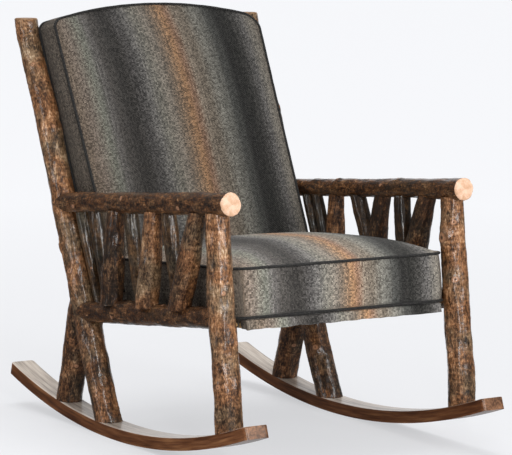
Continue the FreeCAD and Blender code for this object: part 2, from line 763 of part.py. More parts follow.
def pad_half_outline(offset, inset, corner):
    """Points of the pad's outline on the +X half: foot, low corner, top corner and crest."""
    forward = (offset - foam_offset) / (pad_front_offset - foam_offset)
    half = pad_foot_half - pad_rear_narrowing * (1 - forward) - inset
    crest = pad_height + pad_rear_rise * (1 - forward) - inset
    start = Vector(half, 0, inset)
    centre = Vector(0, 0, crest - pad_crown_radius)
    away = start - pad_side_normal * corner - centre
    along = away.dot(pad_side)
    reach = (pad_crown_radius - corner) ** 2 - away.dot(away) + along ** 2
    bend = centre + away + pad_side * (math.sqrt(reach) - along)
    outward = (bend - centre).normalize()
    between = (outward + pad_side_normal).normalize()
    low = pad_foot_corner
    low_x = start.x + low * (pad_side_normal.z * -1 - 1) / pad_side_normal.x
    low_bend = Vector(low_x, 0, inset + low)
    low_between = (pad_side_normal + Vector(0, 0, -1)).normalize()
    return [Vector(low_x, 0, inset), low_bend + low_between * low, low_bend + pad_side_normal * low,
            bend + pad_side_normal * corner, bend + between * corner, bend + outward * corner,
            Vector(0, 0, crest)]


def pad_outline(offset, inset, round_more=0.0):
    """Outline of the pad seen from the front: slightly flared sides, arched crest, round corners."""
    left = [Vector(point.x, -offset, point.z)
            for point in pad_half_outline(offset, inset, pad_left_corner + round_more)]
    right = [Vector(-point.x, -offset, point.z)
             for point in pad_half_outline(offset, inset, pad_right_corner + round_more)]
    edges = [Part.makeLine(right[0], left[0]), Part.Arc(*left[0:3]).toShape(),
             Part.makeLine(left[2], left[3]), Part.Arc(*left[3:6]).toShape(),
             Part.Arc(left[5], left[6], right[5]).toShape(),
             Part.Arc(right[5], right[4], right[3]).toShape(), Part.makeLine(right[3], right[2]),
             Part.Arc(right[2], right[1], right[0]).toShape()]
    return Part.Wire(edges)


def pad_solid(shrink):
    """Boxing between board and front seam, with the crowned face."""
    low = foam_offset
    high = pad_front_offset - shrink / 2
    boxing = Part.makeLoft([pad_outline(low, shrink), pad_outline((low + high) / 2, shrink - pad_bulge),
                            pad_outline(high, shrink)], True, False)
    rings = []
    for inset, lift in zip(crown_inset_shares, crown_rise_shares):
        rings.append(pad_outline(high + lift * (pad_crown - shrink), shrink + inset * pad_crown_inset,
                                 inset * pad_left_corner))
    return boxing.fuse(Part.makeLoft(rings, True, False))


def pad_welt(offset):
    path = pad_outline(offset, -welt_stand)
    start = path.OrderedVertexes[0].Point
    return welt_loop(path, start, ACROSS)


front_welt = pad_welt(pad_front_offset)
rear_welt = pad_welt(foam_offset)
pad_foam = pad_solid(cover_thickness)
pad_cover = pad_solid(0.0).cut(pad_foam).cut(front_welt).cut(rear_welt)
board_face = Part.Face(pad_outline(foam_offset, board_inset))
board = board_face.extrude(Vector(0, board_thickness, 0))
panel_face = Part.Face(pad_outline(board_offset, board_inset / 2))
panel = panel_face.extrude(Vector(0, panel_cloth, 0))
back_screws = []
screw_recesses = []
for height in (crest_rail_height, lumbar_rail_height):
    for step in range(back_screw_count):
        x = (step - (back_screw_count - 1) / 2) * back_screw_spacing
        pole_back = Vector(x, cross_pole_set_back + cross_pole_diameter, along_back(height))
        start = Vector(x, cross_pole_set_back + cross_pole_diameter / 2 - back_screw_recess,
                       along_back(height))
        ahead = Vector(0, -1, 0)
        back_screws.append(
            bar(start, start + ahead * back_screw_head_height, back_screw_head).fuse(
                bar(start, start + ahead * back_screw_length, back_screw_diameter)))
        screw_recesses.append(bar(pole_back, start, back_screw_head))
screw_group = Part.makeCompound(back_screws)
recesses = Part.makeCompound(screw_recesses)
parts["back_board"] = on_back(board.cut(screw_group))
parts["back_panel"] = on_back(panel.cut(screw_group))
parts["back_foam"] = on_back(pad_foam.cut(screw_group))
parts["back_cover"] = on_back(pad_cover)
parts["back_welt_front"] = on_back(front_welt)
parts["back_welt_rear"] = on_back(rear_welt)
parts["back_screws"] = on_back(screw_group)
for name in ("crest_rail", "lumbar_rail"):
    parts[name] = parts[name].cut(on_back(screw_group)).cut(on_back(recesses))

for side, frame in (("right", right_frame), ("left", left_frame)):
    for name, shape in frame.items():
        parts["{}_{}".format(name, side)] = shape

os.makedirs("parts", exist_ok=True)
for name, shape in parts.items():
    shape.exportStep("parts/{}.step".format(name))
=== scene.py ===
import functools
import math

import bmesh
import bpy
import numpy as np
from mathutils import Matrix, Vector, noise


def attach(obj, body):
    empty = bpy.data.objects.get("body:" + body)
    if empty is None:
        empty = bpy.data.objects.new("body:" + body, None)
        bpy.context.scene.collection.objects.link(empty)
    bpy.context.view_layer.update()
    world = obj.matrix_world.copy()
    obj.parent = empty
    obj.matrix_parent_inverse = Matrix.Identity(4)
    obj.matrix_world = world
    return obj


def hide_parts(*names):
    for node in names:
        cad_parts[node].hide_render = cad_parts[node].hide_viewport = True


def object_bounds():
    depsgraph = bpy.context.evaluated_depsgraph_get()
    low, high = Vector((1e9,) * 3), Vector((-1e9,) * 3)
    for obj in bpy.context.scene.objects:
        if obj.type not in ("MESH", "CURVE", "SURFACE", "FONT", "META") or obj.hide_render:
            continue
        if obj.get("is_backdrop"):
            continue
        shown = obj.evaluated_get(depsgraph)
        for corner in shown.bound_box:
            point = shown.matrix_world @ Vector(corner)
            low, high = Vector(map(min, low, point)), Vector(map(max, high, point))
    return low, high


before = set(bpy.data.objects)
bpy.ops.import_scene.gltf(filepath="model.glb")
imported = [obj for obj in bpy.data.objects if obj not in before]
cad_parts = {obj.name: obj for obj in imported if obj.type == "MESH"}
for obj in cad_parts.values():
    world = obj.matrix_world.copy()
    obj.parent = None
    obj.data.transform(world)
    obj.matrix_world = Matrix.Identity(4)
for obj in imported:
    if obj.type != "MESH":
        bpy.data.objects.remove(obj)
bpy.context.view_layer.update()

# Tools of every section: colours, shader nodes and objects. Sizes are written in millimetres and
# turned into metres by the factor mm.

mm = 0.001


def from_hex(code):
    """A colour written as sRGB hex, turned linear for the shader."""
    channels = [int(code[start:start + 2], 16) / 255 for start in (0, 2, 4)]
    linear = [c / 12.92 if c <= 0.04045 else ((c + 0.055) / 1.055) ** 2.4 for c in channels]
    return (*linear, 1.0)


def wave_at(x, y, z):
    """Smooth noise from -1 to 1 at a place."""
    return noise.noise(Vector((x, y, z)))


def fill(node, inputs):
    """Fills inputs of a shader node, each with a constant or a link from another node."""
    for name, value in inputs.items():
        if isinstance(value, bpy.types.NodeSocket):
            node.id_data.links.new(value, node.inputs[name])
        else:
            node.inputs[name].default_value = value


def add_node(tree, kind, *values, out=0, stops=(), **more):
    """Adds a shader node, of a kind and maybe its operation, and returns one output. The values
    fill its inputs in order, a keyword with a capital names an input, any other one a setting,
    and stops are those of a ramp."""
    kind, *operation = kind.split()
    node = tree.nodes.new("ShaderNode" + kind)
    if operation:
        node.operation = operation[0]
    for name, value in more.items():
        if name[0].islower():
            setattr(node, name, value)
    fill(node, dict(enumerate(values)))
    fill(node, {name: value for name, value in more.items() if name[0].isupper()})
    for number, (place, code) in enumerate(stops):
        ramp = node.color_ramp.elements
        stop = ramp[number] if number < 2 else ramp.new(place)
        stop.position = place
        stop.color = from_hex(code)
    return node.outputs[out]


def new_material(name):
    """A node material, the function that adds nodes to it, and its shader."""
    material = bpy.data.materials.new(name)
    material.use_nodes = True
    tree = material.node_tree
    return material, functools.partial(add_node, tree), tree.nodes["Principled BSDF"]


def plain_finish(name, scale, detail, stops, roughness, drawn=(1, 1, 1), twist=0, relief=0, deep=0.5,
                 metallic=0):
    """A finish coloured by one fine noise, with or without a relief of some tenths of a mm."""
    material, add, shader = new_material(name)
    place = add("VectorMath MULTIPLY", add("TexCoord", out="Object"), drawn)
    threads = add("TexNoise", place, Scale=scale, Detail=detail, Distortion=twist)
    fill(shader, {"Base Color": add("ValToRGB", threads, stops=stops), "Roughness": roughness,
                  "Metallic": metallic})
    if relief:
        fill(shader, {"Normal": add("Bump", Height=threads, Strength=relief, Distance=deep * mm)})
    return material


def add_object(name, data):
    """An object of the scene that shows the data."""
    thing = bpy.data.objects.new(name, data)
    bpy.context.scene.collection.objects.link(thing)
    return thing


def to_object(mesh, name, finishes, lift=None):
    """An object of the scene from an edit mesh, moved by lift and with its finishes."""
    data = bpy.data.meshes.new(name)
    mesh.to_mesh(data)
    mesh.free()
    if lift:
        data.transform(lift)
    for finish in finishes:
        data.materials.append(finish)
    return add_object(name, data)


def skin(mesh, rows, closed=True, finishes=None):
    """Smooth faces between rows of vertices, which run round when closed. The finishes are the
    material numbers of the rows."""
    for number, (low, high) in enumerate(zip(rows, rows[1:]), 1):
        for step in range(len(low) if closed else len(low) - 1):
            after = (step + 1) % len(low)
            face = mesh.faces.new((low[step], low[after], high[after], high[step]))
            face.smooth = True
            face.material_index = finishes[number] if finishes else 0


def cloth_vertices(mesh):
    """Adds the layers of cloth to a mesh. Returns the function that makes its vertices, each with
    its place across and along the cloth and the cloth's tone, which on the back pad also holds
    painted shade."""
    place_layer = mesh.verts.layers.float_vector.new("cloth_place")
    tone_and_shade_layer = mesh.verts.layers.float.new("cloth_tone_and_shade")

    def add_vertex(spot, across, along, tone):
        vertex = mesh.verts.new(spot)
        vertex[place_layer] = Vector((across, along, 0)) * mm
        vertex[tone_and_shade_layer] = tone
        return vertex

    return add_vertex


def finish_nodes(start, finish):
    """Gives a finish to the CAD's own solids whose node name starts in one way."""
    for node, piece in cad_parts.items():
        if node.startswith(start):
            for slot in piece.material_slots:
                slot.material = finish


# Rockers: two hardwood strips, steamed and bent to one long arc, planed, stained brown and
# finished satin. The posts stand on them.

rocker_radius = 1864
rocker_thickness = 29.5
contact_y = 44.5
grain_draw = 0.05

# Stained bent hardwood: long straight grain of lines 1 to 4 mm wide that follows the bend, a top
# face painted pale grey as a painted reflection of the light above, sawn ends that take the stain
# paler, and a satin film over all.
rocker_wood, add, shader = new_material("stained_bent_hardwood")
x, y, z = add("SeparateXYZ", add("TexCoord", out="Object")).node.outputs
depth = add("Math SUBTRACT", rocker_radius * mm, z)
reach = add("Math SUBTRACT", y, contact_y * mm)
bend = add("Math ARCTAN2", reach, depth)
run = add("Math MULTIPLY", bend, rocker_radius * mm * grain_draw)
layer = add("VectorMath LENGTH", add("CombineXYZ", reach, depth), out="Value")
grain_place = add("CombineXYZ", x, run, layer)
grain = add("TexNoise", grain_place, Scale=240, Detail=5, Roughness=0.6)
figure = add("TexNoise", grain_place, Scale=45, Detail=3, Distortion=0.6)
blend = add("Math MULTIPLY", grain, 0.55)
blend = add("Math MULTIPLY_ADD", figure, 0.45, blend)
side_colour = add("ValToRGB", blend, stops=(
    (0.36, "3a1d0c"), (0.47, "5e3519"), (0.56, "774a2a"), (0.68, "986a42")))
end_colour = add("ValToRGB", blend, stops=((0.4, "4f3423"), (0.62, "94694a")))
# Painted reflection: the upward-facing top face is coloured pale grey-tan, as if it reflected the light
# above.
painted_reflection_colour = add("ValToRGB", blend, stops=((0.36, "877c74"), (0.5, "c9beb2"), (0.66, "e9e2d8")))
normal = add("NewGeometry", out="Normal")
cosine = add("Math COSINE", bend)
sine = add("Math SINE", bend)
along = add("CombineXYZ", 0, cosine, sine)
facing = add("VectorMath DOT_PRODUCT", normal, along, out="Value")
at_end = add("MapRange", add("Math ABSOLUTE", facing), 0.55, 0.8)
upward = add("VectorMath MULTIPLY", add("CombineXYZ", 0, sine, cosine), (1, -1, 1))
rising = add("VectorMath DOT_PRODUCT", normal, upward, out="Value")
painted_reflection_share = add("MapRange", rising, 0.6, 0.95, 0, 0.85)
colour = add("MixRGB", painted_reflection_share, side_colour, painted_reflection_colour)
fill(shader, {
    "Base Color": add("MixRGB", at_end, colour, end_colour),
    "Roughness": add("MapRange", grain, 0.3, 0.7, 0.28, 0.42),
    "Specular IOR Level": 0.35, "Coat Weight": 0.3, "Coat Roughness": 0.15,
    "Normal": add("Bump", Height=blend, Strength=0.2, Distance=0.5 * mm)})
finish_nodes(("rocker_right", "rocker_left"), rocker_wood)

# Back posts: long hickory saplings with their bark on, sawn level at the top, standing in the
# rockers. Lumps, pruned knots and long ridges show through clear satin lacquer.

ring_spacing = 4
ring_count = 64
rim_steps = 5
face_steps = 7
level_run = 70
calm_run = 60
top_share = 0.8
foot_share = 0.7
# Painted shade: each pole's bark is darkened towards its foot, by up to 0.1 of its tone over the lowest
# 450 mm.
painted_foot_shade = 0.1
painted_foot_shade_reach = 450 * mm


def follow(points, spacing):
    """Smooth line through a pole's points, each x, y, z and radius, at nearly even steps."""
    points = np.array(points, float)
    wide = np.vstack([2 * points[0] - points[1], points, 2 * points[-1] - points[-2]])
    samples = []
    for number in range(1, len(wide) - 2):
        before, start, end, after = wide[number - 1:number + 3]
        steps = max(2, round(float(np.linalg.norm(end[:3] - start[:3])) / spacing))
        for share in np.arange(steps) / steps:
            samples.append((2 * start + (end - before) * share
                            + (2 * before - 5 * start + 4 * end - after) * share ** 2
                            + (3 * start - before - 3 * end + after) * share ** 3) / 2)
    samples.append(points[-1])
    return np.array(samples)


def bark_relief(cosine, sine, distance, seed, radius):
    """Height of a sapling's lumps and ridges over its plain round, in millimetres."""
    broad = wave_at(cosine * 0.8 + seed, sine * 0.8, distance * 0.011)
    lumps = wave_at(cosine * 1.8, sine * 1.8 + seed, distance * 0.026)
    ridges = wave_at(cosine * 5.0, sine * 5.0, distance * 0.03 + seed)
    scales = wave_at(cosine * 7.0 + seed, sine * 7.0, distance * 0.12)
    size = radius / 30
    return size * (1.9 * broad + 1.6 * lumps + 1.0 * ridges + 0.7 * scales)


def coped(spot, host, way, least):
    """A point of a pole's end kept below (way 1) or above (way -1) the side of the pole that it
    is coped to, by at least a share of that pole's radius."""
    table = sorted((row[1], row[0], row[2], row[3]) for row in host)
    along = [row[0] for row in table]
    x, z, radius = (float(np.interp(spot.y, along, [row[part] for row in table])) for part in (1, 2, 3))
    side = math.sqrt(max(radius ** 2 - (spot.x - x) ** 2, (least * radius) ** 2)) - 2
    limit = z - way * side
    if way * (spot.z - limit) > 0:
        spot.z = limit
    return spot


def grow_pole(name, points, seed, tone, knots=(), head="sunk", foot="sunk", rim=5, level=None,
              finish=None, end_finish=None, wander=1, above=None, below=None):
    """Bark-covered pole along its centre line. Ends are sunk in a neighbour, coped to a pole above
    or below, sawn with a worn rim, or cut to the rocker below. Knots are distance along, angle,
    size and height."""
    line = follow(points, ring_spacing)
    steps = np.linalg.norm(np.diff(line[:, :3], axis=0), axis=1)
    reach = np.concatenate([[0.0], np.cumsum(steps)])
    length = reach[-1]
    rings = [(float(s), 0.0, 1.0, 0) for s in reach[1:-1] if s < length - rim]
    if head == "sawn":
        for step in range(rim_steps + 1):
            turn = math.pi / 2 * step / rim_steps
            rings.append((length - rim + rim * math.sin(turn), rim * (1 - math.cos(turn)), 1.0,
                          1 if step > 1 else 0))
        for step in range(1, face_steps + 1):
            rings.append((length + 0.4, rim, 1 - step / (face_steps + 0.6), 1))
    else:
        rings.append((length, 0.0, 1.0, 0))
    rings.insert(0, (0.0, 0.0, 1.0, 0))
    mesh = bmesh.new()
    place_layer = mesh.verts.layers.float_vector.new("bark_place")
    knot_layer = mesh.verts.layers.float.new("knot")
    tone_and_shade_layer = mesh.verts.layers.float.new("bark_tone_and_shade")
    end_layer = mesh.verts.layers.float_vector.new("end_place")
    rows = []
    for distance, cut, share, _ in rings:
        inside = min(distance, length)
        centre, ahead, behind = (
            Vector([np.interp(at, reach, line[:, axis]) for axis in range(3)])
            for at in (inside, min(inside + 6, length), max(inside - 6, 0)))
        way = (ahead - behind).normalized()
        across = (Vector((1, 0, 0)) - way * way.x).normalized() if abs(way.x) < 0.9 else Vector((0, 0, 1))
        upward = way.cross(across)
        plain = float(np.interp(inside, reach, line[:, 3]))
        drift = Vector((wave_at(seed, inside * 0.006, 0.0),
                        wave_at(0.0, inside * 0.006, seed), 0.0)) * wander
        calm = min(1.0, inside / calm_run, (length - inside) / calm_run)
        centre += (across * drift.x + upward * drift.y) * max(calm, 0.0)
        row = []
        for step in range(ring_count):
            turn = 2 * math.pi * step / ring_count
            cosine, sine = math.cos(turn), math.sin(turn)
            radius = plain + bark_relief(cosine, sine, inside, seed, plain)
            knotted = 0.0
            for where, angle, size, height in knots:
                apart = (turn - math.radians(angle) + math.pi) % (2 * math.pi) - math.pi
                ragged = 1 + 0.5 * wave_at(distance * 0.09, apart * 2.6, seed + where)
                gap = ((distance - where) ** 2 + (plain * apart) ** 2) / (size * ragged) ** 2
                radius += height * (math.exp(-gap * 1.4) - 0.5 * math.exp(-gap * 9))
                knotted = max(knotted, math.exp(-gap * 2.2))
            radius = (radius - cut) * share
            spot = centre + (across * cosine + upward * sine) * radius
            if distance > length:
                saw = wave_at(spot.x * 0.25, spot.y * 0.05, spot.z * 0.25 + seed)
                spot += way * ((distance - length) * (1 - share ** 2) * 3 + 0.25 * saw)
            if level is not None:
                near = max(0.0, 1 - max(0.0, length - inside) / level_run)
                near = near * near * (3 - 2 * near)
                up = Vector(level)
                spot -= way * ((spot - centre).dot(up) / way.dot(up) * near)
            if above:
                spot = coped(spot, above, 1, top_share)
            if below:
                spot = coped(spot, below, -1, foot_share)
            vertex = mesh.verts.new(spot * mm)
            vertex[place_layer] = Vector((cosine * plain * share, sine * plain * share,
                                          distance)) * mm + Vector((seed, seed * 1.7, seed * 0.6))
            vertex[knot_layer] = knotted
            # The pole's tone, with painted shade that darkens it towards the foot.
            vertex[tone_and_shade_layer] = tone - painted_foot_shade * max(0.0, 1 - vertex.co.z / painted_foot_shade_reach)
            vertex[end_layer] = Vector((cosine * radius, sine * radius, 0)) * mm
            row.append(vertex)
        rows.append(row)
    skin(mesh, rows, finishes=[ring[3] for ring in rings])
    mesh.faces.new(list(reversed(rows[0])))
    cap = mesh.faces.new(rows[-1])
    cap.material_index = rings[-1][3]
    cap.smooth = True
    if foot == "rocker":
        y = points[0][1]
        for _ in range(4):
            slope = (y - contact_y) / (rocker_radius - rocker_thickness)
            z = rocker_radius - (rocker_radius - rocker_thickness) * math.sqrt(1 - slope ** 2)
            y = float(np.interp(z, line[:40, 2], line[:40, 1]))
        up = Vector((0, -slope, math.sqrt(1 - slope ** 2)))
        cut = bmesh.ops.bisect_plane(mesh, geom=mesh.verts[:] + mesh.edges[:] + mesh.faces[:],
                                     plane_co=(Vector((points[0][0], y, z)) - up * 0.4) * mm,
                                     plane_no=up, clear_inner=True)
        rim_edges = [part for part in cut["geom_cut"] if isinstance(part, bmesh.types.BMEdge)]
        bmesh.ops.holes_fill(mesh, edges=rim_edges)
    bmesh.ops.recalc_face_normals(mesh, faces=mesh.faces[:])
    pole = to_object(mesh, name, (finish or rough_bark, end_finish or sawn_wood))
    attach(pole, "chair")
    return pole


def bark_finish(name, scale, contrast, relief, gloss, coat, greyest, warm_stops, grey_stops):
    """Bark whose flecks, furrows and patches are noises of real sizes, coloured by two ramps."""
    material, add, shader = new_material(name)
    place = add("Attribute", attribute_name="bark_place", out="Vector")
    # The tone attribute holds each pole's tone together with the painted shade towards its foot.
    tone = add("Attribute", attribute_name="bark_tone_and_shade", out="Fac")
    knot = add("Attribute", attribute_name="knot", out="Fac")
    drawn = add("VectorMath MULTIPLY", place, (1, 1, 0.4))
    round_about = add("VectorMath MULTIPLY", place, (0.5, 0.5, 1.4))
    patches = add("TexNoise", drawn, Scale=42 * scale, Detail=3, Roughness=0.6)
    fibres = add("TexNoise", drawn, Scale=330 * scale, Detail=3, Roughness=0.6)
    flecks = add("TexNoise", drawn, Scale=140 * scale, Detail=5, Roughness=0.7, Distortion=1.2)
    bands = add("TexNoise", round_about, Scale=105 * scale, Detail=3, Roughness=0.6)
    value = add("Math MULTIPLY", add("Math SUBTRACT", fibres, 0.5), 0.6)
    for source, weight in ((flecks, 1.1), (patches, 0.7), (bands, 0.5)):
        centred = add("Math SUBTRACT", source, 0.5)
        value = add("Math MULTIPLY_ADD", centred, weight, value)
    value = add("Math MULTIPLY_ADD", value, contrast, tone)
    drift = add("TexNoise", place, Scale=15 * scale, Detail=3)
    greyness = add("MapRange", drift, 0.44, 0.64, 0, greyest)
    colour = add("MixRGB", greyness, add("ValToRGB", value, stops=warm_stops),
                 add("ValToRGB", value, stops=grey_stops))
    healed = add("ValToRGB", knot, stops=(
        (0.0, "2a190e"), (0.5, "2f1c10"), (0.7, "a47555"), (0.88, "c08e6b"), (0.97, "3a2014")))
    in_knot = add("MapRange", knot, 0.4, 0.62, 0, 0.75)
    height = add("Math MULTIPLY_ADD", fibres, 0.4, flecks)
    height = add("Math MULTIPLY_ADD", bands, 0.5, height)
    fill(shader, {
        "Base Color": add("MixRGB", in_knot, colour, healed),
        "Roughness": add("MapRange", flecks, 0.35, 0.65, gloss, gloss + 0.2),
        "Normal": add("Bump", Height=height, Strength=relief, Distance=2 * mm),
        "Coat Normal": add("Bump", Height=height, Strength=relief * 0.2, Distance=2 * mm),
        "Specular IOR Level": 0.25, "Coat Weight": coat, "Coat Roughness": 0.19})
    return material


# Hickory bark under clear lacquer: dark furrows between brown and tan fibrous ridges, and flecks
# about 7 mm wide and 18 mm long. The lacquer's own surface is smoother than the bark below it.
rough_bark = bark_finish("lacquered_hickory_bark", 1.0, 1.0, 0.8, 0.36, 1.0, 0.72, (
    (0.14, "24150b"), (0.3, "462b17"), (0.42, "6b4629"), (0.54, "8f613d"), (0.66, "b3835a"),
    (0.78, "d2a883"), (0.95, "ecd3b8")), (
    (0.14, "1c150e"), (0.32, "443727"), (0.48, "705d45"), (0.62, "958165"), (0.8, "bcab90"),
    (0.95, "ddd0ba")))

# Dark bark of the arms and rails: one even brown with shorter and finer flecks, under the same
# lacquer.
dark_bark = bark_finish("dark_hickory_bark", 1.4, 1.1, 0.8, 0.34, 0.9, 0.4, (
    (0.14, "1a0d05"), (0.3, "3a210e"), (0.42, "5a371b"), (0.54, "7c522e"), (0.68, "a1764e"),
    (0.85, "c99f75")), (
    (0.14, "17110b"), (0.32, "382c1e"), (0.5, "5c4a33"), (0.66, "7d6a4f"), (0.85, "ab9878")))

# Young bark of the thin poles: smoother and darker, grey-brown with few flecks, and glossy enough
# for one narrow light line down its length.
smooth_bark = bark_finish("smooth_young_bark", 1.2, 0.75, 0.22, 0.3, 0.8, 0.9, (
    (0.16, "1c130b"), (0.34, "3d2a18"), (0.5, "65482c"), (0.66, "8f6c47"), (0.85, "b9976f")), (
    (0.16, "1b1712"), (0.36, "3c352a"), (0.54, "625b4c"), (0.7, "8a816f"), (0.88, "b3a993")))

ring_apart = 3 * mm


def sawn_finish(name, stops, heart_colour):
    """End wood with faint growth rings and a short dark check at the heart."""
    material, add, shader = new_material(name)
    place = add("Attribute", attribute_name="end_place", out="Vector")
    fine = add("TexNoise", place, Scale=420, Detail=3)
    broad = add("TexNoise", place, Scale=60, Detail=2)
    radius = add("VectorMath LENGTH", place, out="Value")
    wavy = add("Math MULTIPLY_ADD", broad, 4 * mm, radius)
    ring = add("Math SINE", add("Math MULTIPLY", wavy, 2 * math.pi / ring_apart))
    grain = add("Math MULTIPLY_ADD", fine, 0.5, broad)
    grain = add("Math MULTIPLY_ADD", ring, 0.008, grain)
    stretched = add("VectorMath MULTIPLY", place, (0.35, 1.6, 1))
    split = add("VectorMath LENGTH", stretched, out="Value")
    split = add("Math MULTIPLY_ADD", fine, 1.5 * mm, split)
    heart = add("MapRange", split, mm, 1.8 * mm, 0.55, 0)
    fill(shader, {
        "Base Color": add("MixRGB", heart, add("ValToRGB", grain, stops=stops), from_hex(heart_colour)),
        "Roughness": 0.5, "Normal": add("Bump", Height=fine, Strength=0.3, Distance=0.5 * mm)})
    return material


# Sawn hickory, sanded and clear: pale peach. Sawn hickory under stain: tan brown with a darker
# heart.
sawn_wood = sawn_finish("sawn_hickory_end", (
    (0.5, "bb8f6c"), (0.7, "d5aa8a"), (0.88, "e4c2a7")), "8a5433")
stained_end = sawn_finish("stained_hickory_end", (
    (0.5, "5d3f26"), (0.7, "86623f"), (0.88, "a9845c")), "3a2314")

back_post_line = {
    "right": (
        (-321, 104.7, 15.9, 32), (-321.4, 161.1, 136.4, 32.6), (-321.7, 205.3, 236.8, 32.3),
        (-322, 255.8, 357.3, 32), (-322.4, 304.4, 477.8, 31.4), (-322.7, 355.9, 598.3, 31),
        (-323, 400.1, 698.7, 30.4), (-323.3, 447.9, 799.1, 30.1), (-323.7, 511.5, 919.6, 27.2),
        (-323.9, 535.8, 988, 28.6)),
    "left": (
        (321, 104.7, 15.9, 32), (321.4, 161.1, 136.4, 32.6), (321.7, 205.3, 236.8, 32.3),
        (322, 255.8, 357.3, 32), (322.4, 304.4, 477.8, 31.4), (322.7, 355.9, 598.3, 31),
        (323.5, 400.1, 698.7, 30.4), (325, 447.9, 799.1, 30.1), (327.5, 511.5, 919.6, 28.2),
        (329, 537.5, 993, 29)),
}
back_post_knots = {
    "right": ((465, 150, 15, 6), (262, 322, 13, 7), (560, 215, 12, 3), (395, 200, 14, 3.5),
              (760, 262, 11, 2.5), (930, 230, 12, 2)),
    "left": ((300, 240, 14, 4), (140, 225, 13, 3.5), (560, 40, 12, 4), (790, 330, 11, 3)),
}
for side, seed, tone in (("right", 3.1, 0.47), ("left", 8.4, 0.41)):
    post = grow_pole("back_post_bark_" + side, back_post_line[side], seed, tone,
                     back_post_knots[side], head="sawn", foot="rocker", level=(0, 0, 1),
                     end_finish=stained_end)
    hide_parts("back_post_" + side)

# Front posts: shorter saplings, thick at the foot, that taper up into the underside of the arms.
# The left one has a burl below the arm and a pruned branch at the seat.

front_post_line = {
    "right": (
        (-321, -449, 81.8, 32.6), (-321.5, -444.5, 169.3, 32.6), (-322, -432, 256.9, 31.7),
        (-322.5, -420, 344.4, 31), (-323, -410.5, 431.9, 29.4), (-323.5, -403.5, 519.5, 27.8),
        (-324, -397, 607, 26.9)),
    "left": (
        (325.5, -449, 81.8, 33), (325.5, -444.5, 169.3, 32.6), (325.5, -432, 256.9, 31.7),
        (325.5, -420, 344.4, 31), (325.3, -410.5, 431.9, 30), (325, -403.5, 519.5, 28.6),
        (324, -397, 607, 26.9)),
}
front_post_knots = {
    "right": ((330, 250, 12, 2), (120, 200, 14, 2.5), (215, 300, 12, 2.5)),
    "left": ((416, 178, 24, 8), (316, 236, 18, 3.5), (452, 238, 15, 2.5), (150, 190, 12, 3)),
}
arm_line = {
    "right": (
        (-332, 330, 542.1, 18), (-332, 318, 543.2, 23), (-328.5, 240, 550.1, 24.6),
        (-324.5, 171.8, 556.1, 24), (-324, 13.3, 570.1, 24.8), (-324, -145.1, 584.1, 25.4),
        (-324, -303.6, 598.1, 26.2), (-324, -462, 612.1, 27)),
    "left": (
        (324, 330.2, 545.1, 21.4), (324, 171.8, 559.1, 22), (324, 13.3, 573.1, 22.4),
        (324, -145.1, 587.1, 22.6), (324, -303.6, 600.1, 24), (324, -400, 608.5, 26),
        (324, -449, 612.5, 27)),
}
for side, seed, tone in (("right", 12.7, 0.48), ("left", 17.3, 0.47)):
    post = grow_pole("front_post_bark_" + side, front_post_line[side], seed, tone,
                     front_post_knots[side], foot="rocker", above=arm_line[side])
    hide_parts("front_post_" + side)

# Brace legs: short saplings that rake back from the back post down to the rocker.

brace_line = {
    "right": ((-321, 320.8, 36.1, 31.4), (-321, 291.7, 131.9, 32.6), (-321, 264.6, 227.7, 32.6),
              (-321, 236.5, 323.5, 31.4)),
    "left": ((321, 329.8, 36.1, 31.4), (321, 298.7, 131.9, 32.6), (321, 267.6, 227.7, 32.6),
             (321, 236.5, 323.5, 31.4)),
}
for side, seed, tone in (("right", 21.9, 0.4), ("left", 25.2, 0.42)):
    brace = grow_pole("brace_leg_bark_" + side, brace_line[side], seed, tone,
                      ((120, 250, 12, 3),), foot="rocker")
    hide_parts("brace_leg_" + side)

# Arms: the straightest saplings, darker bark, laid on the front posts and coped over the back
# posts. The front end is sawn and sanded to a slightly domed pale face.

arm_knots = {
    "right": ((330, 150, 12, 2.5), (600, 200, 11, 2), (95, 200, 13, 2.5)),
    "left": ((258, 105, 12, 5), (466, 160, 10, 3), (150, 90, 12, 3), (520, 100, 14, 2.5)),
}
for side, seed, tone in (("right", 31.4, 0.36), ("left", 36.8, 0.35)):
    arm = grow_pole("arm_bark_" + side, arm_line[side], seed, tone, arm_knots[side],
                    head="sawn", rim=6, finish=dark_bark, wander=0.6)
    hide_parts("arm_" + side)

# Side rails: saplings between front and back post that carry the spindles and the seat. The near
# one's rear end laps over the outside of the back post.

rail_line = {
    "right": (
        (-321, -425.7, 351.5, 26), (-321, -264.4, 334.6, 25), (-321, -103.1, 317.6, 26),
        (-321.5, 30, 305.6, 28), (-323, 90, 298.5, 26.5), (-325, 150, 291, 24.7),
        (-329.5, 215, 284.2, 23.6), (-330, 232, 282.4, 19)),
    "left": (
        (321, -425.7, 351.5, 26), (321, -264.4, 334.6, 25), (321, -103.1, 317.6, 25.5),
        (321, 58.2, 300.7, 24.7), (321, 219.5, 283.7, 24.5)),
}
for side, seed, tone in (("right", 41.3, 0.37), ("left", 45.9, 0.34)):
    rail = grow_pole("side_rail_bark_" + side, rail_line[side], seed, tone,
                     ((260, 250, 11, 2.5), (480, 160, 11, 2)), finish=dark_bark, wander=0.6)
    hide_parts("side_rail_" + side)

# Spindles: outer ones of rough brown bark and thinner inner ones of smooth dark bark, set in pairs
# that lean together like a V and are coped to the rail below and the arm above.

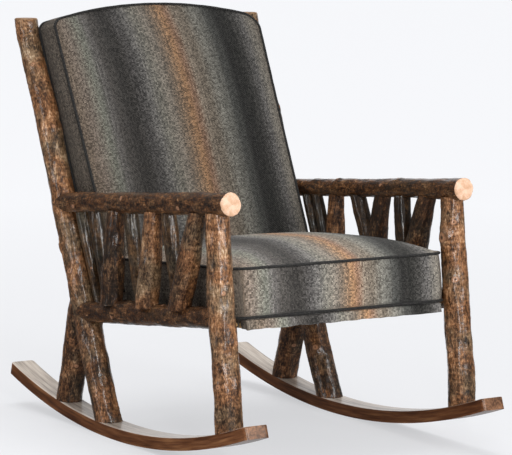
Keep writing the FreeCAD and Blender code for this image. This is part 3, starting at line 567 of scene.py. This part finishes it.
outer_girth = (1, 1.02, 1, 0.86, 0.74)
inner_girth = (0.75, 0.8, 0.9, 1, 0.95)
spindle_ends = {
    "right": (
        ((-306, 175.6, 288.4), (-315, 267.1, 547.7), 32, "inner", 0.4),
        ((-306, 130.4, 293.1), (-315, 193.6, 554.2), 36, "inner", 0.31),
        ((-335, 74.3, 299), (-328, 57.8, 566.2), 53, "outer", 0.27),
        ((-312, -32.1, 310.2), (-320, 7.1, 570.7), 35, "inner", 0.37),
        ((-335, -99.9, 317.3), (-328, -122.8, 582.2), 54, "outer", 0.44),
        ((-312, -212.8, 329.2), (-320, -171.3, 586.4), 37, "inner", 0.37),
        ((-335, -245, 332.6), (-328, -328.4, 600.3), 54, "outer", 0.35)),
    "left": (
        ((306, 103.3, 295.9), (315, 217.1, 552.1), 29, "inner", 0.3),
        ((306, 58.2, 300.7), (315, 173.1, 556), 29, "inner", 0.28),
        ((335, 122.7, 293.9), (328, 96.7, 562.8), 52, "outer", 0.36),
        ((313, -125.7, 320), (321, -1.7, 571.4), 40, "inner", 0.3),
        ((335, -45.1, 311.5), (328, -111.1, 581.1), 54, "outer", 0.2),
        ((314, -228.9, 330.9), (322, -197, 588.7), 41, "inner", 0.22),
        ((335, -193.4, 327.1), (328, -301.9, 598), 58, "outer", 0.22)),
}
for side, rows in spindle_ends.items():
    for number, (foot, top, diameter, row, tone) in enumerate(rows, 1):
        girths = outer_girth if row == "outer" else inner_girth
        points = []
        for step, girth in enumerate(girths):
            share = step / (len(girths) - 1)
            points.append(tuple(low + (high - low) * share for low, high in zip(foot, top))
                          + (diameter * girth / 2,))
        seed = 50 + number * 3.7 + (0 if side == "right" else 40)
        spindle = grow_pole("spindle_bark_{}_{}".format(side, number), points, seed, tone,
                            ((90 + 17 * number, 200 + 30 * number, 7, 1.5),),
                            finish=rough_bark if row == "outer" else smooth_bark, wander=2,
                            above=arm_line[side], below=rail_line[side])
        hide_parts("spindle_{}_{}".format(side, number))

# Cross rails: three slim saplings that hold the back posts apart, behind the back pad and the
# seat.

cross_rails = (("crest_rail", 506.1, 878.7, 61), ("lumbar_rail", 304.2, 464.7, 67),
               ("rear_seat_rail", 245.7, 345, 73))
for node, y, z, seed in cross_rails:
    points = [(x, y, z, radius) for x, radius in ((-323, 18), (-107, 17.5), (107, 18.4), (323, 18))]
    rail = grow_pole(node + "_bark", points, seed, 0.36, ((200, 90, 10, 2),), wander=0.5)
    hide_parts(node)

# Upholstery cloth: one striped tweed for cushion, back pad, deck and outside back. A form is a
# crowned panel inside its seam, a boxing strip that swells between two seams, and a plain panel
# behind or below.

panel_columns = 84
panel_rows = 84
boxing_rings = 10
boxing_margin = 46
cloth_simulation = {
    "quality": 5, "mass": 0.3, "tension_stiffness": 22, "compression_stiffness": 22,
    "shear_stiffness": 8, "bending_stiffness": 1.2, "use_pressure": True,
    "vertex_group_mass": "held",
}
simulated_frames = 20


def rounded(share_x, share_y, half, high, radii, out=0):
    """Point of a panel for shares from its left and lower edge, with its corners turned round.
    radii are those of the right and the left side, each with the low and the high corner."""
    half = half + out
    x = half * share_x
    low = -out
    top = high(x) + out
    y = low + (top - low) * share_y
    for end, edge, way in ((0, low, 1), (1, top, -1)):
        corner = radii[0 if x < 0 else 1][end] + out
        side = max(0.0, (abs(x) - half + corner) / corner)
        past = max(0.0, (corner - way * (y - edge)) / corner)
        if side > 0 and past > 0:
            x = math.copysign(half - corner + corner * side * math.sqrt(1 - past ** 2 / 2), x)
            y = edge + way * (corner - corner * past * math.sqrt(1 - side ** 2 / 2))
    return x, y


def swell(gap, inset):
    """Share of a crown's height at a distance in from the seam."""
    return 1 - (1 - min(1.0, gap / inset)) ** 2.6


def grow_form(name, half, high, radii, depth, crown, inset, bulge, shape, stripe, tone, seed, lift):
    """Closed upholstered form in its own plane: X across, Y along, Z out of the panel, with seams
    at the heights 0 and depth. shape moves a point of the outline with its height, and stripe
    gives the place across the cloth. Also returns the points that are sewn or rest on wood."""
    mesh = bmesh.new()
    add_vertex = cloth_vertices(mesh)
    shares_x = [math.sin(math.pi / 2 * (2 * i / panel_columns - 1)) for i in range(panel_columns + 1)]
    shares_y = [(1 - math.cos(math.pi * j / panel_rows)) / 2 for j in range(panel_rows + 1)]

    def face_grid(height, raised):
        grid = []
        for j in shares_y:
            row = []
            for i in shares_x:
                x, y = rounded(i, j, half, high, radii)
                gaps = (half - abs(x), y, high(x) - y)
                near = max(0.0, min(gaps))
                z = height
                if raised:
                    shares = [swell(max(0.0, gap), inset) for gap in gaps]
                    z += crown * (0.55 * shares[0] * shares[1] * shares[2] + 0.45 * min(shares))
                    z += 2.2 * wave_at(x * 0.009, y * 0.009, seed) * min(1, near / 30)
                    pucker = wave_at(x * 0.05, y * 0.05, seed + 5)
                    z += 1.1 * pucker * math.exp(-near / 24) * min(1, near / 5)
                row.append(add_vertex((*shape(x, y, height), z), stripe(x, y), y, tone))
            grid.append(row)
        return grid

    def rim_of(grid):
        return (grid[0][:-1] + [row[-1] for row in grid[:-1]] + list(reversed(grid[-1][1:]))
                + [row[0] for row in reversed(grid[1:])])

    top = face_grid(depth, True)
    bottom = face_grid(0.0, False)
    top_rim = rim_of(top)
    bottom_rim = rim_of(bottom)
    count = len(top_rim)
    rings = [bottom_rim]
    for ring in range(1, boxing_rings):
        share = ring / boxing_rings
        row = []
        for step in range(count):
            below, above = bottom_rim[step].co, top_rim[step].co
            before, after = top_rim[step - 1].co, top_rim[(step + 1) % count].co
            outward = Vector((after.y - before.y, before.x - after.x, 0)).normalized()
            spot = below.lerp(above, share)
            spread = math.sin(math.pi * share) ** 0.6
            fold = wave_at(spot.x * 0.018, spot.y * 0.018, share * 1.6 + seed)
            fine = wave_at(spot.x * 0.06, spot.y * 0.06, share * 3.0 + seed)
            sideways = max(0.0, min(1.0, (abs(outward.x) - 0.5) / 0.3))
            turned = math.copysign((boxing_margin + depth * (1 - share)) * sideways, spot.x)
            along = spot.y + math.copysign(depth * (1 - share), outward.y) * (1 - sideways)
            row.append(add_vertex(spot + outward * (bulge + 1.6 * fold + 0.6 * fine) * spread,
                                  stripe(above.x, above.y) + turned, along, tone))
        rings.append(row)
    rings.append(top_rim)
    skin(mesh, rings)
    for grid, flip in ((top, False), (bottom, True)):
        for row, above in zip(grid, grid[1:]):
            for step in range(panel_columns):
                corners = [row[step], row[step + 1], above[step + 1], above[step]]
                mesh.faces.new(corners[::-1] if flip else corners)
    bmesh.ops.recalc_face_normals(mesh, faces=mesh.faces[:])
    mesh.verts.index_update()
    held = sorted({vertex.index for row in bottom for vertex in row}
                  | {vertex.index for vertex in top_rim})
    for face in mesh.faces:
        face.smooth = True
    mesh.transform(Matrix.Diagonal((mm, mm, mm, 1)))
    return to_object(mesh, name, (tweed,), lift), held


def blow_up(form, held, push, cap):
    """Cloth simulation of a sewn cover that its filling pushes out. The held points stay, and no
    other point ends farther from its place than the cap."""
    group = form.vertex_groups.new(name="held")
    group.add(held, 1.0, "REPLACE")
    cloth = form.modifiers.new("filling", "CLOTH")
    for name, value in cloth_simulation.items():
        setattr(cloth.settings, name, value)
    cloth.settings.uniform_pressure_force = push
    cloth.settings.effector_weights.gravity = 0
    cloth.point_cache.frame_start = 1
    cloth.point_cache.frame_end = simulated_frames
    for step in range(1, simulated_frames + 1):
        bpy.context.scene.frame_set(step)
    blown = form.evaluated_get(bpy.context.evaluated_depsgraph_get()).data
    start = np.empty(len(form.data.vertices) * 3)
    end = np.empty(len(form.data.vertices) * 3)
    form.data.vertices.foreach_get("co", start)
    blown.vertices.foreach_get("co", end)
    moved = (end - start).reshape(-1, 3)
    reach = np.maximum(np.linalg.norm(moved, axis=1, keepdims=True), 1e-9)
    moved *= cap * np.tanh(reach / cap) / reach
    form.modifiers.remove(cloth)
    form.vertex_groups.remove(group)
    form.data.vertices.foreach_set("co", start + moved.reshape(-1))
    form.data.update()
    bpy.context.scene.frame_set(1)
    smooth = form.modifiers.new("smooth", "SUBSURF")
    smooth.levels = 1
    smooth.render_levels = 1


# Striped wool tweed: charcoal, grey-green, taupe and rust stripes that melt into each other
# across one width of cloth. The yarn is drawn 3.6 mm thick, coarser than it is, so that it shows.
yarn = 3.6 * mm
jitter_reach = 4 * mm
ramp_reach = 420
stripe_colours = (
    (-420, "635a50"), (-335, "6c6257"), (-305, "6f655a"), (-270, "7f7061"), (-242, "897c70"),
    (-209, "87877b"), (-187, "736f6b"), (-165, "55514d"), (-135, "413e3b"), (-110, "403d3a"),
    (-88, "555250"), (-66, "777470"), (-44, "827e74"), (-14, "8b8175"), (8, "8c7763"),
    (30, "a37e5d"), (46, "92735e"), (62, "8d8071"), (86, "7c7265"), (110, "848178"),
    (143, "555551"), (168, "302f2d"), (196, "31302d"), (220, "484643"), (242, "6d6a67"),
    (266, "827c72"), (300, "6f655a"), (335, "6c6257"), (420, "635a50"))
tweed, add, shader = new_material("striped_tweed")
place = add("Attribute", attribute_name="cloth_place", out="Vector")
# The tone attribute holds the cloth's tone and, on the back pad, painted shade.
tone = add("Attribute", attribute_name="cloth_tone_and_shade", out="Fac")
cells = add("VectorMath MULTIPLY", place, (1 / yarn, 1 / yarn, 1))
cell = add("VectorMath FLOOR", cells)
chance = add("TexWhiteNoise", cell, noise_dimensions="3D")
jitter = add("MapRange", chance, 0, 1, -jitter_reach, jitter_reach)
across = add("Math ADD", add("SeparateXYZ", place), jitter)
across = add("MapRange", across, -ramp_reach * mm, ramp_reach * mm)
stripes = add("ValToRGB", across, stops=[
    ((x + ramp_reach) / (2 * ramp_reach), code) for x, code in stripe_colours])
fleck = add("MapRange", chance, 0, 1, 0.46, 1.54)
column = add("TexWhiteNoise", W=add("SeparateXYZ", cell), noise_dimensions="1D")
column = add("MapRange", column, 0, 1, 0.84, 1.16)
soft = add("TexNoise", place, Scale=420, Detail=4, Roughness=0.7)
shade = add("MapRange", soft, 0.32, 0.68, 0.5, 1.5)
shade = add("Math MULTIPLY", shade, add("Math MULTIPLY", fleck, column))
shade = add("Math MULTIPLY", shade, tone)
crossing = add("VectorMath MULTIPLY", cells, (math.pi, math.pi, 0))
x, y, _ = add("SeparateXYZ", add("VectorMath SINE", crossing)).node.outputs
weave = add("Math MULTIPLY_ADD", soft, 1.2, add("Math MULTIPLY", x, y))
fill(shader, {
    "Base Color": add("VectorMath SCALE", stripes, Scale=shade),
    "Roughness": 0.92, "Specular IOR Level": 0.25, "Sheen Weight": 0.08, "Sheen Roughness": 0.45,
    "Normal": add("Bump", Height=weave, Strength=0.6, Distance=0.9 * mm)})

# Piping: a bias-cut strip of charcoal cloth round a 6.6 mm cord, sewn into each seam.
piping = plain_finish("charcoal_piping", 420, 3, (
    (0.3, "0f0f0f"), (0.55, "242322"), (0.75, "42403d")), 0.85, relief=0.5, deep=0.8)

# Seat cushion: a boxed cushion with a high crowned top, lying loose on the deck. Its panels are
# sewn to the boxing with piping in the seams.

seat_tilt = math.radians(4)
seat_origin = Vector((0, -437, 346.5)) * mm
seat_lift = Matrix.Translation(seat_origin) @ Matrix.Rotation(-seat_tilt, 4, "X")
cushion_half = 288
cushion_far = 531
cushion_boxing = 115
cushion_lean = (5, 25)
cushion_radii = ((40, 28), (40, 28))
seat_stripe_shift = 9


def cushion_edge(x):
    """Depth of the cushion, the same all across."""
    return cushion_far


def cushion_shape(x, y, height):
    """The front and the rear of the boxing lean back with the height."""
    share = y / cushion_far
    return x, y + height / cushion_boxing * (cushion_lean[0] * (1 - share) + cushion_lean[1] * share)


def seat_stripe(x, y):
    """Place across the cloth on the seat."""
    return x + seat_stripe_shift


cushion, held = grow_form("seat_cushion_cover", cushion_half, cushion_edge, cushion_radii,
                          cushion_boxing, crown=44, inset=190, bulge=4, shape=cushion_shape,
                          stripe=seat_stripe, tone=0.87, seed=2.3, lift=seat_lift)
blow_up(cushion, held, push=4, cap=7 * mm)
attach(cushion, "cushion")
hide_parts("seat_cover", "seat_foam")

piping_sides = 12
piping_radius = 3.3
piping_stand = 2.2
edge_samples = 400


def lay_piping(name, outline, lift, body, node, seed):
    """Cord along a closed outline of points in millimetres, with the slight waves of sewing."""
    count = len(outline)
    mesh = bmesh.new()
    rings = []
    for step in range(count):
        here = Vector(outline[step])
        way = (Vector(outline[(step + 1) % count]) - Vector(outline[step - 1])).normalized()
        out = way.cross(Vector((0, 0, 1))).normalized()
        wave = wave_at(here.x * 0.03, here.y * 0.03, seed)
        here = here + out * 0.4 * wave + Vector((0, 0, 0.5 * wave))
        size = piping_radius * (1 + 0.05 * wave_at(here.x * 0.15, here.y * 0.15, seed + 3))
        rings.append([mesh.verts.new((here + (out * math.cos(turn) + Vector((0, 0, 1)) * math.sin(turn))
                                      * size) * mm)
                      for turn in (2 * math.pi * side / piping_sides for side in range(piping_sides))])
    skin(mesh, rings + rings[:1])
    bmesh.ops.recalc_face_normals(mesh, faces=mesh.faces[:])
    cord = to_object(mesh, name, (piping,), lift)
    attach(cord, body)
    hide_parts(node)


def rim_points(half, high, radii, shape, height, out, step_length=6):
    """Evenly spaced points round a panel's seam, a little outside it."""
    run = [step / edge_samples for step in range(edge_samples)]
    shares = ([(2 * s - 1, 0.0) for s in run] + [(1.0, s) for s in run]
              + [(1 - 2 * s, 1.0) for s in run] + [(-1.0, 1 - s) for s in run])
    raw = np.array([shape(*rounded(i, j, half, high, radii, out), height) for i, j in shares])
    loop = np.vstack([raw, raw[:1]])
    reach = np.concatenate([[0.0], np.cumsum(np.linalg.norm(np.diff(loop, axis=0), axis=1))])
    count = round(reach[-1] / step_length)
    at = np.arange(count) * reach[-1] / count
    return [(float(np.interp(s, reach, loop[:, 0])), float(np.interp(s, reach, loop[:, 1])), height)
            for s in at]


for height, node, seed in ((cushion_boxing, "seat_welt_upper", 1.3), (4, "seat_welt_lower", 4.4)):
    outline = rim_points(cushion_half, cushion_edge, cushion_radii, cushion_shape, height, piping_stand)
    lay_piping(node + "_cord", outline, seat_lift, "cushion", node, seed)

# Back pad: foam over a board, with a softly crowned face under an arched crest that is wider than
# its foot. Its boxing rises to the rear. Piping runs in both seams.

back_lean = math.radians(26)
pad_origin = Vector((0, 214.44, 308.16)) * mm
pad_lift = Matrix.Translation(pad_origin) @ Matrix.Rotation(math.pi / 2 - back_lean, 4, "X")
pad_foot_half = 284
pad_crest_half = 297
pad_height = 743
pad_arch = 1030
pad_radii = ((17, 16), (17, 34))
pad_front = 100
pad_rear = 19.96
pad_depth = pad_front - pad_rear
rear_widening = (9, 2)
foot_drop = 9
foot_drop_reach = 80
rear_rise = 26
crest_turn = 18
crest_turn_start = 480
stripe_sites = (-600, -292, -139, 25, 188, 292, 600)
stripe_places = (-600, -290, -120, 30, 180, 292, 600)


def pad_crest(x):
    """Height of the pad's arched crest at a distance from its middle."""
    return pad_height - pad_arch + math.sqrt(pad_arch ** 2 - x ** 2)


def pad_shape(x, y, height):
    """The sides flare up to the crest, the crest rises towards the board and the foot sags."""
    share = y / pad_height
    back = 1 - height / pad_depth
    half = pad_foot_half + (pad_crest_half - pad_foot_half) * share
    half += back * (rear_widening[0] + (rear_widening[1] - rear_widening[0]) * share)
    drop = foot_drop * max(0.0, 1 - max(y, 0.0) / foot_drop_reach)
    return x * half / pad_foot_half, y - drop + rear_rise * back * max(share, 0.0) ** 3


def pad_stripe(x, y=0):
    """Place across the cloth, whose rust stripe turns aside a little below the crest."""
    turned = crest_turn * float(np.interp(y, (crest_turn_start, pad_height), (0, 1))) ** 1.5
    return turned + float(np.interp(x, stripe_sites, stripe_places))


pad_shift = pad_lift @ Matrix.Translation(Vector((0, 0, pad_rear * mm)))
# Painted shade: the pad's cloth has a tone of 0.56, much darker than the cushion's 0.87, so the same tweed
# is painted darker on the back pad.
pad, held = grow_form("back_pad_cover", pad_foot_half, pad_crest, pad_radii, pad_depth, crown=13,
                      inset=120, bulge=4.5, shape=pad_shape, stripe=pad_stripe, tone=0.56, seed=7.7,
                      lift=pad_shift)
blow_up(pad, held, push=4, cap=5 * mm)
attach(pad, "chair")
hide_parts("back_cover", "back_foam")
for height, node, seed in ((pad_depth, "back_welt_front", 2.9), (0, "back_welt_rear", 6.1)):
    outline = rim_points(pad_foot_half, pad_crest, pad_radii, pad_shape, height, piping_stand)
    lay_piping(node + "_cord", outline, pad_shift, "chair", node, seed)

# Outside back: a plain panel of the same cloth, pulled tight over the board and blind tacked
# inside the rear piping.

cloth_thickness = 1.2
board_inset = 4
board_rear = 7.96
panel_steps = 40


def stretch_cloth(name, rows, places, tone, lift):
    """A sheet of cloth through rows of points, each with its place across and along the cloth."""
    mesh = bmesh.new()
    add_vertex = cloth_vertices(mesh)
    skin(mesh, [[add_vertex(Vector(spot) * mm, *place, tone) for spot, place in zip(row, row_places)]
                for row, row_places in zip(rows, places)], closed=False)
    piece = to_object(mesh, name, (tweed,), lift)
    weight = piece.modifiers.new("cloth_weight", "SOLIDIFY")
    weight.thickness = cloth_thickness * mm
    weight.offset = 0
    return piece


outside_rows = []
outside_places = []
for j in range(panel_steps + 1):
    flat_row = [rounded(2 * i / panel_steps - 1, j / panel_steps, pad_foot_half, pad_crest, pad_radii,
                        -board_inset) for i in range(panel_steps + 1)]
    outside_rows.append([(*pad_shape(x, y, 0), board_rear - cloth_thickness / 2) for x, y in flat_row])
    outside_places.append([(pad_stripe(x), y) for x, y in flat_row])
panel = stretch_cloth("back_panel_cloth", outside_rows, outside_places, 0.9, pad_lift)
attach(panel, "chair")
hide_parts("back_panel")

# Deck cover: the same cloth pulled over the webbing and round the front of the frame, where it
# shows as a narrow band, and stapled below. The band's lower edge is pulled in small waves.

deck_half = 268
deck_long = 602
deck_top = -1.1
deck_bottom = -20.9
deck_edge = 4
deck_front = -0.7
deck_return = 22
deck_columns = 120
deck_turned = 26
deck_ear = ((0.9, 2), (1.4, 12), (1.4, deck_turned))
side_start = 6
deck_stripe_shift = -30
profile = [(deck_long - 30 * step, deck_top) for step in range(20)]
profile += [(deck_edge * (1 - math.sin(turn)) + deck_front, deck_top - deck_edge * (1 - math.cos(turn)))
            for turn in (math.pi / 2 * step / 5 for step in range(6))]
profile += [(deck_front, deck_top - deck_edge - 3 * step) for step in range(1, 5)]
profile += [(deck_front + 0.9 * (1 - math.cos(turn)), deck_bottom + 2.5 * (1 - math.sin(turn)))
            for turn in (math.pi / 2 * step / 4 for step in range(1, 5))]
profile += [(deck_return * step / 3, deck_bottom) for step in range(1, 4)]
run = [0.0]
for before, after in zip(profile, profile[1:]):
    run.append(run[-1] + math.dist(before, after))
deck_rows = []
deck_places = []
for (y, z), distance in zip(profile, run):
    row = []
    for step in range(deck_columns + 1):
        x = deck_half * (2 * step / deck_columns - 1)
        low = max(0.0, min(1.0, (deck_top - deck_edge - z) / 14)) * (1 if y < 3 else 0)
        pull = wave_at(x * 0.035, 3.3, 0.0)
        ripple = wave_at(x * 0.09, 8.1, z * 0.03)
        row.append((x, y - low * (1.2 + 1.8 * pull + 1.0 * ripple), z - low * (1.5 + 2.2 * pull)))
    for way, at in ((-1, 0), (1, deck_columns)):
        x, y, z = row[at]
        under = z < deck_bottom + 3
        ears = [(x + way * out, y + (0 if y > side_start or under else back),
                 z + (back * 0.5 if under else -back * 0.7 if y > side_start else 0))
                for out, back in deck_ear]
        row = ears[::-1] + row if way == -1 else row + ears
    deck_rows.append(row)
    deck_places.append([(x * 1.04 + deck_stripe_shift, distance) for x, _, _ in row])
deck = stretch_cloth("deck_cover_cloth", deck_rows, deck_places, 0.95, seat_lift)
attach(deck, "chair")
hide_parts("deck_cover")

# Seat deck and back board: a pine frame screwed to the side rails, jute webbing both ways, and
# black cambric below the seat and over the board. The screws, pins and zip are plated steel.

pine = plain_finish("planed_pine", 130, 4, (
    (0.35, "b98a55"), (0.55, "d8b27c"), (0.7, "e6c997")), 0.6, drawn=(0.12, 1, 1), twist=0.8, relief=0.25)
cambric = plain_finish("black_cambric", 600, 2, ((0.35, "0c0c0d"), (0.65, "242426")), 0.9)
jute = plain_finish("jute_webbing", 350, 3, ((0.35, "7d6440"), (0.65, "b89a6b")), 0.9)
steel = plain_finish("zinc_plated_steel", 500, 2, ((0.3, "85868a"), (0.7, "b4b5b8")), 0.38, metallic=1)
finish_nodes("seat_frame_", pine)
finish_nodes(("back_board", "dust_cover"), cambric)
finish_nodes("webbing_", jute)
finish_nodes(("deck_screws_", "rocker_screws_", "joint_pins_", "back_screws", "seat_zip"), steel)

# Studio: a white paper floor that gives some of its light itself, more so in the distance, and a
# tent of soft light, brightest overhead. Mirrored rays see the tent dimmed and one light patch.

floor_reach = 120
floor_mesh = bpy.data.meshes.new("studio_floor")
floor_mesh.from_pydata([(-floor_reach, -floor_reach, 0), (floor_reach, -floor_reach, 0),
                        (floor_reach, floor_reach, 0), (-floor_reach, floor_reach, 0)], [], [(0, 1, 2, 3)])
floor = add_object("studio_floor", floor_mesh)
floor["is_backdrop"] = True
paper, add, shader = new_material("white_paper")
fill(shader, {"Base Color": from_hex("d6d7da"), "Roughness": 0.9, "Specular IOR Level": 0.1})
away = add("VectorMath LENGTH", add("TexCoord", out="Object"), out="Value")
glow = add("Emission", Color=from_hex("f2f3f6"), Strength=add("MapRange", away, 1, 5, 0.99, 1.16))
share = add("Math MULTIPLY", add("LightPath", out="Is Camera Ray"), 0.6)
surface = add("MixShader", share, shader.outputs[0], glow)
fill(paper.node_tree.nodes["Material Output"], {"Surface": surface})
floor.data.materials.append(paper)
floor.visible_glossy = False

world = bpy.data.worlds.new("studio_light")
bpy.context.scene.world = world
world.use_nodes = True
add = functools.partial(add_node, world.node_tree)
direction = add("TexCoord", out="Generated")
camera_side = (-0.53, -0.848)
patch_colour = (0.9, 0.9, 0.92, 1)
backdrop_colour = (0.91, 0.915, 0.94, 1)


def lobe(way, start, end, low, high):
    """Light that grows from low to high as the direction turns towards a way."""
    dot = add("VectorMath DOT_PRODUCT", direction, Vector(way).normalized(), out="Value")
    return add("MapRange", dot, start, end, low, high, interpolation_type="SMOOTHSTEP")


tent = lobe((0, 0, 1), -0.1, 0.9, 0.34, 0.85)
tent = add("Math MULTIPLY", tent, lobe((*camera_side, -0.1), 0.2, 1, 1, 0.55))
mirror_ray = add("LightPath", out="Is Glossy Ray")
behind = lobe((-camera_side[0], -camera_side[1], 0), 0.78, 0.98, 0, 0.9)
tent = add("Math MULTIPLY", tent, add("MapRange", mirror_ray, 0, 1, 1, 0.2))
mirrored = add("Math MULTIPLY", behind, mirror_ray)
tent = add("MixRGB", mirrored, tent, patch_colour)
seen = add("MixRGB", add("LightPath", out="Is Camera Ray"), tent, backdrop_colour)
fill(world.node_tree.nodes["Background"], {"Color": seen})


def aim(light, back):
    """Turns a light so that it shines away from the way back."""
    light.rotation_mode = "QUATERNION"
    light.rotation_quaternion = back.to_track_quat("Z", "Y")


sun = bpy.data.lights.new("softbox", "SUN")
sun.energy = 1.5
sun.angle = math.radians(35)
softbox = add_object("softbox", sun)
aim(softbox, Vector((0.1, 0.2, 1)))

# Lamps on stands, aimed at the seat: turn from the camera in degrees, height, distance, width and
# tallness in metres, and power in watts.
lamp_aim = Vector((0, 0, 0.5))
for name, turn, height, distance, width, tall, power in (
        ("strip_light", 8, 1.5, 3.4, 0.3, 2.2, 40), ("broad_light", 46, 1.7, 3.6, 1.1, 1.8, 50),
        ("edge_light", -62, 1.4, 3.4, 0.35, 2, 12)):
    lamp = bpy.data.lights.new(name, "AREA")
    lamp.shape = "RECTANGLE"
    lamp.size = width
    lamp.size_y = tall
    lamp.energy = power
    stand = add_object(name, lamp)
    bearing = math.atan2(camera_side[1], camera_side[0]) + math.radians(turn)
    stand.location = (distance * math.cos(bearing), distance * math.sin(bearing), height)
    aim(stand, stand.location - lamp_aim)

# Camera: at the photograph's place, with its long lens.

picture_width = 512
focal_pixels = 2589
camera_lens = bpy.data.cameras.new("photograph")
camera_lens.sensor_width = 36
camera_lens.lens = focal_pixels / picture_width * camera_lens.sensor_width
camera_lens.clip_end = 300
camera = add_object("photograph", camera_lens)
sight = Vector((0.52593677, 0.84207471, -0.11958554))
right = Vector((0.84846753, -0.52922412, 0.00496736))
above = Vector((0.05910466, 0.10407696, 0.99281147))
place = Vector((-3291.18, -5313.91, 1246.67)) * mm
camera.matrix_world = Matrix(((right.x, above.x, -sight.x, place.x), (right.y, above.y, -sight.y, place.y),
                              (right.z, above.z, -sight.z, place.z), (0, 0, 0, 1)))
bpy.context.scene.camera = camera
bpy.context.scene.view_settings.view_transform = "Standard"

low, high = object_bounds()
